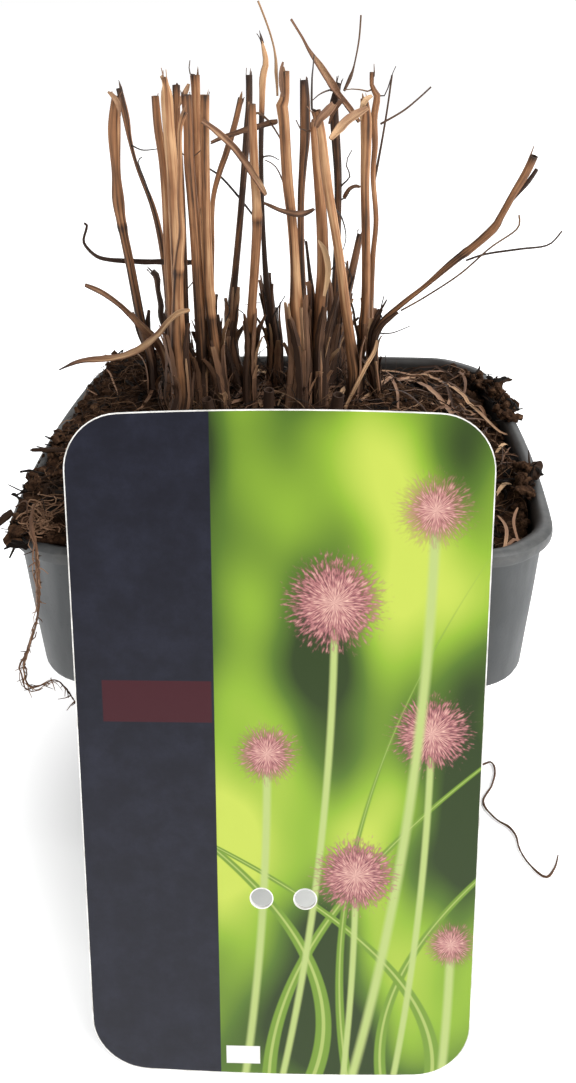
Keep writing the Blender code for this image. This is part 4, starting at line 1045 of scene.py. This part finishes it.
# Roots: matt, fibrous, knotted. The root over the rim is drawn a little thinner than its solid,
# because threads wrap it, and the other one comes out of the right-hand drain slot along the floor.
rootSet = {"slimmer": 0.66, "floorHeight": 0.55}
rootFinish = strawFinish("fibrousRoot", "#94735A", "#664936", "#2A1D15", 0.15)
overRim = seenStrand(rootOverRim, 0.5)
rootOver = makeStalk([(point, width * rootSet["slimmer"], length) for point, width, length in overRim],
                     0.4, 0.75, 3)
finishPiece(rootOver, "rootOverTheRim", rootFinish, "root", "root_over_rim")
rootHeight = rootSet["floorHeight"]
points = [Vector((29.5, -1.0, rootHeight + 0.4)), Vector((35.0, -1.5, rootHeight + 0.1))]
points += [atHeight(px, py, rootHeight) for px, py, wide in rootOnFloor]
widths = [0.7, 0.6] + [pixelsToMm(row[2], point) for row, point in zip(rootOnFloor, points[2:])]
rootFloor = makeStalk(smoothStrand(points, widths, 0.8), 0.5, 0.3, 5)
finishPiece(rootFloor, "rootOnTheFloor", rootFinish, "root", "root_on_floor")
print("roots")


# Bark: composted chips, dark and rough
barkFinish = strawFinish("compostedBark", "#302219", "#1C130D", "#0C0806", 0.06)
for index, (name, (middle, length, width, turn, tilt)) in enumerate(barkChips.items()):
    bpy.ops.mesh.primitive_ico_sphere_add(subdivisions=4, radius=1)
    chip = bpy.context.object
    chip.scale = (length / 2 * mm, width / 2 * mm, width * 0.32 * mm)
    bpy.ops.object.transform_apply()
    for vert in chip.data.vertices:
        spot = vert.co / mm
        vert.co *= 1 + 0.35 * noise.noise(spot * 0.9 + Vector((index * 7, 0, 0)))
    chip.rotation_euler = (0, -math.radians(tilt), math.radians(turn))
    chip.location = Vector(middle) * mm
    bpy.ops.object.transform_apply()
    finishPiece(chip, "barkChip_" + name[11:], barkFinish, "bark", name)
print("bark")


upward, toFront = Vector((0, 0, 1)), Vector((0, -1, 0))


def meshPiece(name, verts, faces):
    made = bpy.data.meshes.new(name)
    made.from_pydata(verts, [], faces)
    piece = bpy.data.objects.new(name, made)
    scene.collection.objects.link(piece)
    return piece


# Everything too fine for a solid: each strand is a run of flat or round fibre with four sides
def strands(name, lines, finish, slotName):
    # A line is its points in millimetres, their widths and thicknesses, a direction that its flat side
    # faces, how far its edges curl up, and how dark it is
    verts, faces, tones, chart = [], [], [], []
    for points, widths, thicks, facing, curl, darkness in lines:
        start, count, along = len(verts), len(points), 0.0
        across = Vector((1, 0, 0))
        for i, point in enumerate(points):
            ahead = (points[min(i + 1, count - 1)] - points[max(i - 1, 0)]).normalized()
            side = ahead.cross(facing)
            across = side.normalized() if side.length > 0.05 else across
            up = across.cross(ahead).normalized()
            half, thick = widths[i] / 2, thicks[i] / 2
            rise = up * curl * half
            for offset in (across * half + rise, up * thick, -across * half + rise, -up * thick):
                verts.append((point + offset) * mm)
                tones.append(darkness[i] if isinstance(darkness, list) else darkness)
            along += (point - points[i - 1]).length if i else 0.0
            if i < count - 1:
                base, step = start + 4 * i, (points[i + 1] - point).length
                for k in range(4):
                    other = (k + 1) % 4
                    faces.append((base + k, base + 4 + k, base + 4 + other, base + other))
                    low, high = along / 10, (along + step) / 10
                    chart += [(k / 4, low), (k / 4, high), ((k + 1) / 4, high), ((k + 1) / 4, low)]
        last = start + 4 * (count - 1)
        faces.append((start, start + 1, start + 2, start + 3))
        faces.append((last + 3, last + 2, last + 1, last))
        chart += [(0.5, 0.0)] * 4 + [(0.5, along / 10)] * 4
    piece = meshPiece(name, verts, faces)
    for corner, spot in zip(piece.data.uv_layers.new(name="UVMap").data, chart):
        corner.uv = spot
    piece.data.attributes.new("tone", "FLOAT", "POINT").data.foreach_set("value", tones)
    finishPiece(piece, name, finish, slotName)


peatShape = BVHTree.FromPolygons([vert.co / mm for vert in peat.data.vertices],
                                 [face.vertices[:] for face in peat.data.polygons])


def onPeat(x, y):
    hit = peatShape.ray_cast(Vector((x, y, 130)), Vector((0, 0, -1)))[0]
    return hit.z if hit and hit.z > soilShape["cutHeight"] + 0.5 else None


def anyPlace(rng):
    return rng.uniform(-46, 46), rng.uniform(-44, 46)


def trail(rng, x, y, length, step, bend, lift):
    # A run over the peat: it wanders, rises a little in its middle and stops at the peat's edge
    heading = rng.uniform(0, 2 * math.pi)
    turn = rng.gauss(0, bend)
    count = max(int(length / step), 3)
    points = []
    for i in range(count + 1):
        ground = onPeat(x, y)
        if ground is None:
            break
        rise = 0.12 + lift * math.sin(math.pi * (0.08 + 0.9 * i / count))
        points.append(Vector((x, y, ground + rise)))
        turn += rng.gauss(0, bend * 0.5)
        heading += turn
        x += math.cos(heading) * step
        y += math.sin(heading) * step
    return points if len(points) > 3 else None


def smoothLine(points, wide, spacing):
    return [row[0] for row in smoothStrand(points, [wide] * len(points), spacing)]


def tapered(count, width, ends=0.35):
    return [width * (ends + (1 - ends) * math.sin(math.pi * min(max(i / (count - 1), 0.02), 0.98)) ** 0.6)
            for i in range(count)]


# Heaps of peat lie on the rim where the photograph shows them: (right, back, spread, height) in
# millimetres
heaps = ((45.6, 24.5, 1.9, 1.9), (46.0, 19.0, 1.9, 1.6), (46.3, 13.0, 1.8, 1.3), (46.2, 9.0, 1.4, 1.0),
         (44.6, -18.0, 1.7, 2.2), (43.4, -22.0, 1.8, 2.0), (43.0, 30.0, 2.4, 1.0), (-44.6, -24.0, 1.5, 1.0),
         (-42.6, -41.0, 1.2, 0.9), (-45.2, -6.0, 1.4, 0.8), (-42.0, 36.0, 2.0, 1.4))


def inHeap(rng, heap):
    heapX, heapY, spread, height = heap
    x, y = rng.gauss(heapX, spread * 0.45), rng.gauss(heapY, spread)
    fade = math.exp(-((x - heapX) ** 2 + (y - heapY) ** 2) / (2 * spread ** 2))
    return Vector((x, y, max(onPeat(x, y) or 0, potTop - 0.2) + height * fade * rng.random()))


# Coir and straw in the peat: brown hairs all over, long flat straw at the right
litterSet = {"seed": 4, "coir": 2300, "coirWidth": (0.07, 0.2), "coirLength": (3, 12),
             "flakes": 520, "heapFlakes": 22, "flakeWidth": (0.5, 1.5), "flakeLength": (2.0, 6.0),
             "straw": 120, "strawWidth": (0.22, 0.8), "strawLength": (8, 30),
             "crumbs": 3200, "heapCrumbs": 34, "crumbSize": (0.35, 1.5)}
coirFinish = strawFinish("coirFibre", "#80624A", "#4E3828", "#1D140E", 0.1)
rng = random.Random(litterSet["seed"])
coir, flakes, looseStraw = [], [], []
while len(coir) < litterSet["coir"]:
    x, y = anyPlace(rng)
    line = trail(rng, x, y, rng.uniform(*litterSet["coirLength"]), 1.1, 0.16, rng.uniform(0, 1.4) ** 2)
    if line:
        width = rng.uniform(*litterSet["coirWidth"])
        widths = tapered(len(line), width)
        coir.append((line, widths, widths, upward, 0.0, rng.uniform(0.1, 0.9)))
while len(flakes) < litterSet["flakes"]:
    x, y = anyPlace(rng)
    line = trail(rng, x, y, rng.uniform(*litterSet["flakeLength"]), 0.9, 0.1, rng.uniform(0, 0.8))
    if line:
        width = rng.uniform(*litterSet["flakeWidth"])
        tilt = Vector((rng.gauss(0, 0.5), rng.gauss(0, 0.5), 1)).normalized()
        flakes.append((line, tapered(len(line), width, 0.5), [0.22] * len(line), tilt,
                       rng.uniform(-0.2, 0.5), rng.uniform(0.1, 0.95)))
for heap in heaps:
    for k in range(litterSet["heapFlakes"]):
        start = inHeap(rng, heap)
        aim = Vector((rng.gauss(0, 1), rng.gauss(0, 1), rng.gauss(0.3, 0.4))).normalized()
        reach, width = rng.uniform(0.8, 3.0), rng.uniform(0.2, 0.8)
        bend = Vector((rng.gauss(0, 0.3), rng.gauss(0, 0.3), rng.gauss(0, 0.2)))
        line = [start + (aim + bend * share) * reach * share for share in (-0.5, 0, 0.5, 1)]
        flakes.append((line, tapered(4, width, 0.3), [width * 0.5] * 4, upward, 0.1,
                       rng.uniform(0.1, 0.95)))
while len(looseStraw) < litterSet["straw"]:
    x, y = rng.uniform(-30, 44), rng.uniform(-20, 40)
    if rng.random() > 0.25 + 0.75 * max(x, 0) / 44:
        continue
    line = trail(rng, x, y, rng.uniform(*litterSet["strawLength"]), 1.4, 0.035, rng.uniform(0.2, 2.8))
    if line:
        width = rng.uniform(*litterSet["strawWidth"]) * (0.5 if rng.random() < 0.5 else 1)
        tilt = Vector((rng.gauss(0, 0.5), rng.gauss(0, 0.5), 1)).normalized()
        looseStraw.append((line, tapered(len(line), width, 0.4), [max(0.12, width * 0.12)] * len(line), tilt,
                           rng.uniform(0, 0.6), rng.uniform(0.3, 1.0)))
strands("coirInPeat", coir, coirFinish, "peat")
strands("barkFlakes", flakes, barkFinish, "peat")
strands("looseStraw", looseStraw, driedLeaf, "dry_leaf")

# Crumbs of peat: one lump shaped once and strewn, each copy turned and stretched
bpy.ops.mesh.primitive_ico_sphere_add(subdivisions=1, radius=1)
lump = bpy.context.object
for vert in lump.data.vertices:
    vert.co *= 1 + 0.45 * noise.noise(vert.co * 1.7)
lumpVerts = [vert.co.copy() for vert in lump.data.vertices]
lumpFaces = [face.vertices[:] for face in lump.data.polygons]
bpy.data.objects.remove(lump)
verts, faces = [], []
places = [inHeap(rng, heap)[:] for heap in heaps for k in range(litterSet["heapCrumbs"])]
while len(places) < litterSet["crumbs"]:
    x, y = anyPlace(rng)
    ground = onPeat(x, y)
    if ground is not None:
        places.append((x, y, ground))
for x, y, ground in places:
    size = rng.uniform(*litterSet["crumbSize"]) * rng.uniform(0.5, 1)
    angle, axis = rng.uniform(0, 6.28), Vector((rng.gauss(0, 1), rng.gauss(0, 1), 1)).normalized()
    turned = Matrix.Rotation(angle, 3, axis)
    stretch = Matrix.Diagonal((size * rng.uniform(0.7, 1.5), size * rng.uniform(0.6, 1.1), size * 0.7))
    start = len(verts)
    middle = Vector((x, y, ground + size * 0.25))
    verts += [(middle + turned @ (stretch @ spot)) * mm for spot in lumpVerts]
    faces += [tuple(start + k for k in face) for face in lumpFaces]
finishPiece(meshPiece("peatCrumbs", verts, faces), "peatCrumbs",
            peatFinish("peatLumps", "#241811", "#443023", "#70553F"), "peat")
print("peat litter", len(coir), len(looseStraw))


# Old leaf sheaths wrap each stem's foot: dark, split into strips, peeling at their tips
sheathSet = {"seed": 11, "spacing": 1.2, "strips": (7, 12), "length": (5, 21), "width": (0.6, 2.1),
             "hairs": 11, "hairLength": (3, 13), "hairWidth": (0.13, 0.3), "hairStep": 1.8,
             "splinters": (1, 4), "splinterLength": (0.3, 1.5)}
# Stems with the thickest foot of old sheaths, and how much more they carry
thickFeet = {"stem_straw": 2.4, "stem_low_node": 2.6, "stem_tall_left": 2.2, "stem_tall_dark": 2.0,
             "stem_split": 2.0, "stem_tan": 1.4, "stem_dark_back": 2.0, "stem_black": 2.0,
             "stem_front_left": 1.6, "stem_spreading": 1.5, "stem_leaning": 0.4, "stem_stub_right": 2.0}
rng = random.Random(sheathSet["seed"])
sheaths, hairs, splinters = [], [], []
for name in stemRoutes:
    strand = stemStrand(name, sheathSet["spacing"])
    strand.reverse()
    points = [row[0] for row in strand]
    widths = [row[1] for row in strand]
    lengths = [strand[0][2] - row[2] for row in strand]
    frames = framesAlong(strand, None)
    more = thickFeet.get(name, 1.0)
    for k in range(round(rng.randint(*sheathSet["strips"]) * more)):
        reach = rng.uniform(*sheathSet["length"]) * (0.8 + 0.2 * more)
        angle = rng.uniform(0, 2 * math.pi)
        drift = rng.gauss(0, 0.03)
        peel = abs(rng.gauss(0, 1.6)) + 0.3
        wide = rng.uniform(*sheathSet["width"])
        spread = rng.uniform(0.1, 0.8) * max(more - 0.6, 0.2)
        line, sizes = [], []
        for point, width, length, (across, outward, ahead) in zip(points, widths, lengths, frames):
            if length > reach:
                break
            share = length / reach
            aside = across * math.cos(angle) + outward * math.sin(angle)
            away = width / 2 + 0.12 + spread * (1 - share) + peel * share ** 4
            line.append(point + aside * away - upward * (0.6 if length == 0 else 0))
            sizes.append(wide * (1 - share ** 6 * 0.6) * (1 + 0.12 * math.sin(length * 1.7 + k)))
            angle += drift
        if len(line) < 4:
            continue
        facing = (line[1] - points[1]).normalized()
        age = rng.uniform(0.1, 0.75)
        # Each strip darkens towards the crown: partly age, partly painted shade deep in the crown
        darkness = [age + 0.4 * (1 - i / len(line)) for i in range(len(line))]
        sheaths.append((line, sizes, [0.14] * len(line), facing, -rng.uniform(0.2, 0.7), darkness))
    for k in range(round(sheathSet["hairs"] * more)):
        angle = rng.uniform(0, 2 * math.pi)
        start = points[0] + Vector((math.cos(angle), math.sin(angle), 0)) * rng.uniform(0.6, 2.6)
        heading = Vector((math.cos(angle) * rng.uniform(0.1, 1.0), math.sin(angle) * rng.uniform(0.1, 1.0),
                          rng.uniform(0.5, 1.6))).normalized()
        swerve = Vector((rng.gauss(0, 0.14), rng.gauss(0, 0.14), rng.gauss(-0.04, 0.08)))
        line = [start]
        for i in range(max(int(rng.uniform(*sheathSet["hairLength"]) / sheathSet["hairStep"]), 3)):
            heading = (heading + swerve + Vector((rng.gauss(0, 0.12), rng.gauss(0, 0.12), 0))).normalized()
            spot = line[-1] + heading * sheathSet["hairStep"]
            spot.z = max(spot.z, crownTop + 0.3)
            line.append(spot)
        sizes = [rng.uniform(*sheathSet["hairWidth"]) * (1 - 0.7 * i / len(line)) for i in range(len(line))]
        hairs.append((line, sizes, sizes, toFront, 0.0, rng.uniform(0.2, 1.0)))
    # Torn fibres stand up round the cut
    tip, ahead = points[-1], (points[-1] - points[-2]).normalized()
    across, outward, _ = frames[-1]
    for k in range(rng.randint(*sheathSet["splinters"])):
        angle = rng.uniform(0, 2 * math.pi)
        aside = across * math.cos(angle) + outward * math.sin(angle)
        length = rng.uniform(*sheathSet["splinterLength"])
        lean = ahead + aside * rng.uniform(-0.1, 0.5)
        root = tip + aside * widths[-1] * 0.42 - ahead * 0.8
        torn = root + ahead * 0.8
        line = [root, torn, torn + lean * length * 0.6, torn + lean * length]
        wide = rng.uniform(0.25, 0.7)
        splinters.append((line, [wide, wide, wide * 0.6, 0.08], [0.16] * 4, aside, 0.3,
                          stemLooks[name][0] + rng.uniform(-0.15, 0.3)))
strands("oldSheaths", sheaths, driedLeaf, "dry_leaf")
strands("crownHairs", hairs, stalkFinish, "dry_stalk")
strands("tornTips", splinters, driedLeaf, "dry_leaf")
print("sheaths and hairs", len(sheaths), len(hairs))


# Loose wisps among the stems, read from the photograph: (pixel right, pixel down, depth), width in
# millimetres and darkness
wisps = (
    (((131, 145, 15), (142, 150, 14), (157, 149, 12)), 0.35, 0.7),
    (((142, 157, 17), (138, 162, 17), (143, 176, 15), (147, 187, 13), (152, 204, 12)), 0.4, 0.8),
    (((190, 60, 14), (189, 67, 14), (191, 76, 15)), 0.3, 0.5),
    (((314, 55, 21), (313, 68, 21), (312, 80, 21), (312, 110, 20)), 0.45, 0.6),
    (((344, 90, 28), (356, 89, 28), (372, 92, 28)), 0.35, 0.3),
    (((313, 100, 19), (320, 94, 21), (330, 90, 24)), 0.4, 0.5),
    (((256, 112, 10), (268, 120, 12), (280, 138, 11), (290, 160, 10)), 0.45, 0.3),
    (((263, 157, 14), (271, 156, 12), (279, 160, 10)), 0.4, 0.6),
    (((265, 160, 15), (276, 167, 13), (285, 187, 10), (288, 200, 10)), 0.4, 0.4),
    (((378, 333, 14), (392, 333, 12), (410, 326, 10)), 0.35, 0.6),
    (((384, 296, 15), (381, 308, 15), (380, 319, 15)), 0.35, 0.8),
    (((243, 305, 18), (256, 303, 19), (270, 300, 22)), 0.2, 0.5),
    (((262, 290, 22), (269, 305, 22), (266, 322, 22), (273, 333, 22)), 0.45, 0.9),
    (((285, 296, 14), (279, 306, 18), (273, 318, 21), (276, 332, 22)), 0.4, 0.9),
    (((224, 300, 10), (230, 309, 14), (226, 322, 20), (230, 331, 26)), 0.35, 0.8),
    (((240, 310, 18), (247, 320, 22), (240, 331, 26)), 0.3, 0.9),
    (((340, 256, 24), (331, 270, 22), (322, 276, 18)), 0.35, 0.8),
    (((345, 262, 22), (352, 280, 20), (347, 300, 18), (351, 318, 16)), 0.4, 0.9),
    (((300, 292, 14), (309, 304, 16), (318, 297, 18), (324, 312, 18)), 0.35, 0.9),
    (((186, 291, 6), (192, 283, 8), (197, 278, 8)), 0.3, 0.7),
    (((178, 150, 8), (190, 158, 8), (201, 150, 8)), 0.3, 0.5),
    (((330, 205, 14), (341, 216, 18), (346, 236, 22), (343, 250, 24)), 0.4, 0.7),
    (((352, 150, 20), (346, 163, 20), (350, 176, 22), (343, 184, 24), (338, 190, 24)), 0.4, 0.5),
    (((296, 120, 12), (303, 132, 14), (311, 128, 15)), 0.35, 0.5),
    (((385, 95, 30), (392, 75, 31), (396, 66, 32)), 0.3, 0.6),
    (((338, 199, 24), (341, 200, 25), (344.5, 197.5, 25.2)), 0.5, 0.35),
)
stemPoints = [row[0] for name in stemRoutes for row in stemStrand(name, 1.5)]


def nearestStem(px, py):
    # The point on a stem that lies closest behind or before a pixel, and how far off it is
    look = sight(px, py).normalized()
    return min(((point - eye).cross(look).length, point) for point in stemPoints)


wispLines = []
for spots, wide, darkness in wisps:
    # A wisp grows from the stem that its nearer end touches
    ends = [nearestStem(*spot[:2]) for spot in (spots[0], spots[-1])]
    turned = ends[1][0] < ends[0][0]
    order = spots[::-1] if turned else spots
    held = ends[1 if turned else 0][1]
    shift = held.y - order[0][2]
    points = [held] + [atDepth(px, py, depth + shift * (1 - i / (len(order) - 1)))
                       for i, (px, py, depth) in enumerate(order)]
    line = smoothLine(points, wide, 1.5)
    sizes = [wide * (1 - 0.6 * i / len(line)) for i in range(len(line))]
    wispLines.append((line, sizes, sizes, toFront, 0.0, darkness))
strands("looseWisps", wispLines, stalkFinish, "dry_stalk")

# Pale scraps of sheath that cling to cut ends: (pixel right, pixel down, pixels wide, depth)
scraps = (
    ((161, 76, 3, 5.6), (165, 82, 6, 5.0), (166, 92, 7, 4.6), (164, 103, 3, 4.6)),
    ((189, 84, 3, 13.6), (186, 92, 6, 13.0), (182, 100, 5, 12.0), (178, 108, 2, 11.6)),
    ((283, 62, 2, 8.6), (281, 71, 4, 8.0), (281, 84, 5, 7.6), (283, 97, 3, 7.4)),
    ((372, 96, 3, 19.0), (366, 100, 6, 17.6), (362, 108, 5, 17.4), (361, 120, 2, 17.6)),
    ((108, 92, 2, 15.2), (113, 96, 5, 14.2), (118, 104, 5, 13.6), (120, 116, 2, 13.6)),
    ((345, 98, 3, 26.4), (339, 104, 5, 26.2), (333, 113, 4, 26.2), (329, 124, 2, 26.4)),
    ((318, 240, 2, 10.4), (325, 252, 6, 9.6), (328, 272, 6, 9.2), (324, 296, 3, 8.8)),
    ((200, 208, 2, 9.6), (205, 224, 5, 8.6), (207, 250, 5, 8.2), (204, 276, 2, 8.6)))
scrapLines = []
for k, spots in enumerate(scraps):
    strand = seenStrand(spots, 0.9)
    scrapLines.append(([row[0] for row in strand], [row[1] for row in strand], [0.14] * len(strand),
                       Vector((0.2 * (-1) ** k, -1, 0.3)), 0.45, 0.02 + 0.25 * (k % 3)))
strands("sheathScraps", scrapLines, driedLeaf, "dry_leaf")

# Flat straps and straws that lie across the crown and the peat: (pixel right, pixel down), width in
# millimetres and darkness
strapSet = {"readAt": 91.5, "arch": 1.1, "above": 0.35}
straps = (
    (((377, 358), (398, 361), (420, 368), (439, 375), (472, 396), (500, 418), (514, 421)), 0.9, 0.25),
    (((360, 402), (380, 390), (405, 375), (420, 368)), 1.1, 0.3),
    (((402, 371), (430, 390), (458, 416)), 1.2, 0.25),
    (((427, 400), (440, 408), (450, 396), (444, 380), (430, 376)), 0.6, 0.3),
    (((497, 440), (510, 431)), 0.7, 0.0), (((498, 480), (506, 474), (513, 470)), 0.8, 0.0),
    (((500, 500), (508, 520), (504, 545)), 0.6, 0.3), (((520, 492), (515, 512), (522, 530)), 0.5, 0.35),
    (((506, 535), (518, 528), (530, 531)), 0.6, 0.5), (((224, 371), (248, 375), (272, 375)), 1.2, -0.1),
    (((136, 384), (150, 387), (153, 396), (146, 407), (137, 412)), 0.8, 0.35),
    (((190, 375), (208, 392), (228, 407)), 2.3, 0.35), (((271, 367), (268, 385), (274, 407)), 1.2, 0.5),
    (((296, 384), (286, 396), (277, 407)), 0.5, 0.1), (((330, 372), (314, 392), (300, 409)), 1.6, 0.4),
    (((338, 380), (352, 392), (345, 412)), 0.9, 0.45), (((243, 400), (262, 392), (270, 380)), 1.0, 0.5),
    (((70, 402), (82, 392), (97, 395)), 0.4, 0.3), (((60, 452), (75, 447), (84, 456)), 0.4, 0.4),
    (((96, 372), (110, 380), (118, 396)), 0.4, 0.3), (((380, 372), (395, 392), (398, 410)), 0.7, 0.4),
    (((318, 366), (296, 380), (282, 402)), 1.8, 0.3), (((300, 368), (322, 384), (334, 406)), 1.5, 0.45),
    (((346, 372), (330, 386), (324, 408)), 1.3, 0.2), (((262, 372), (250, 388), (236, 400)), 1.4, 0.45),
    (((232, 380), (250, 392), (262, 408)), 1.2, 0.3), (((356, 384), (344, 394), (338, 410)), 1.0, 0.1),
    (((310, 390), (316, 398), (314, 410)), 1.6, 0.5), (((206, 386), (196, 396), (200, 410)), 1.0, 0.5),
    (((170, 380), (160, 392), (164, 410)), 0.9, 0.4),
)
strapLines = []
for spots, wide, darkness in straps:
    line = smoothLine([atHeight(*spot, strapSet["readAt"]) for spot in spots], wide, 1.3)
    for i, point in enumerate(line):
        ground = onPeat(point.x, point.y)
        arch = strapSet["arch"] * math.sin(math.pi * i / (len(line) - 1))
        point.z = max(ground or 0, potTop - 2) + strapSet["above"] + arch
    strapLines.append((line, tapered(len(line), wide, 0.5), [max(0.14, wide * 0.12)] * len(line),
                       Vector((0.1, -0.25, 1)), 0.35, darkness))
strands("strapsOnPeat", strapLines, driedLeaf, "dry_leaf")

# Dark bark slivers that stick out over the rim at the left, and a mat of fine brown roots
sliverHeight = 91.8
slivers = ((((20, 472), (30, 471), (43, 475)), 1.1), (((13, 494), (22, 500), (33, 505)), 0.9),
           (((10, 545), (18, 547), (29, 546)), 1.6), (((12, 541), (20, 543), (26, 549)), 1.1),
           (((508, 399), (514, 404), (518, 410)), 0.9), (((530, 466), (537, 469), (542, 475)), 1.1),
           (((488, 377), (497, 381), (505, 378)), 1.6))
sliverLines = []
for spots, wide in slivers:
    line = smoothLine([atHeight(*spot, sliverHeight) for spot in spots], wide, 0.7)
    sizes = [wide * (0.45 + 0.55 * abs(math.sin(2.3 * i + wide * 9))) for i in range(len(line))]
    sliverLines.append((line, sizes, [size * 0.6 for size in sizes], upward, 0.2, 0.7))
strands("barkSlivers", sliverLines, barkFinish, "bark")
matSet = {"seed": 8, "count": 60, "middle": (40, 524), "spread": (9, 11), "height": 91.6,
          "width": (0.12, 0.3), "length": (4, 13), "threads": 9, "threadSpacing": 1.2,
          "threadSteps": (8, 22), "threadWidth": (0.14, 0.34), "twoHairsFrom": 38,
          "hairReach": (0.5, 2.2), "hairWidths": [0.3, 0.2, 0.12]}
rng = random.Random(matSet["seed"])
matLines = []
for k in range(matSet["count"]):
    px, py = (rng.gauss(value, spread * 0.6) for value, spread in zip(matSet["middle"], matSet["spread"]))
    start = atHeight(px, py, matSet["height"])
    line = trail(rng, start.x, start.y, rng.uniform(*matSet["length"]), 0.8, 0.5, rng.uniform(0.2, 2.4))
    if line:
        wide = rng.uniform(*matSet["width"])
        matLines.append((line, [wide] * len(line), [wide] * len(line), upward, 0.0, rng.uniform(-0.1, 0.5)))
# Threads that follow the long root over the rim and down the pot's side
over = seenStrand(rootOverRim, matSet["threadSpacing"])
for k in range(matSet["threads"]):
    first = rng.randint(0, max(len(over) - 14, 1))
    run = over[first:first + rng.randint(*matSet["threadSteps"])]
    shift = Vector((rng.gauss(0, 0.3), -abs(rng.gauss(0.3, 0.2)), 0))
    line = []
    for i, row in enumerate(run):
        wave = Vector([noise.noise(Vector((i * 0.45, k * 3.1, axis * 5.3))) for axis in range(3)]) * 0.8
        line.append(row[0] + shift + Vector((wave.x, -abs(wave.y), wave.z)))
    sizes = tapered(len(line), rng.uniform(*matSet["threadWidth"]))
    matLines.append((line, sizes, sizes, toFront, 0.0, rng.uniform(-0.1, 0.5)))
# Short root hairs stand off it, twice as many low down
for point, width, length in over[4:]:
    for k in range(2 if length > matSet["twoHairsFrom"] else 1):
        aim = Vector((rng.gauss(0, 1), -abs(rng.gauss(0.4, 0.5)), rng.gauss(-0.2, 0.8))).normalized()
        reach = rng.uniform(*matSet["hairReach"])
        bend = Vector((rng.gauss(0, 0.4), -0.2, rng.gauss(0, 0.4)))
        line = [point, point + aim * reach * 0.5, point + (aim + bend * 0.5) * reach]
        matLines.append((line, matSet["hairWidths"], matSet["hairWidths"], toFront, 0.0,
                         rng.uniform(0.1, 0.9)))
strands("rootMat", matLines, rootFinish, "root")
print("wisps, straps and root mat")
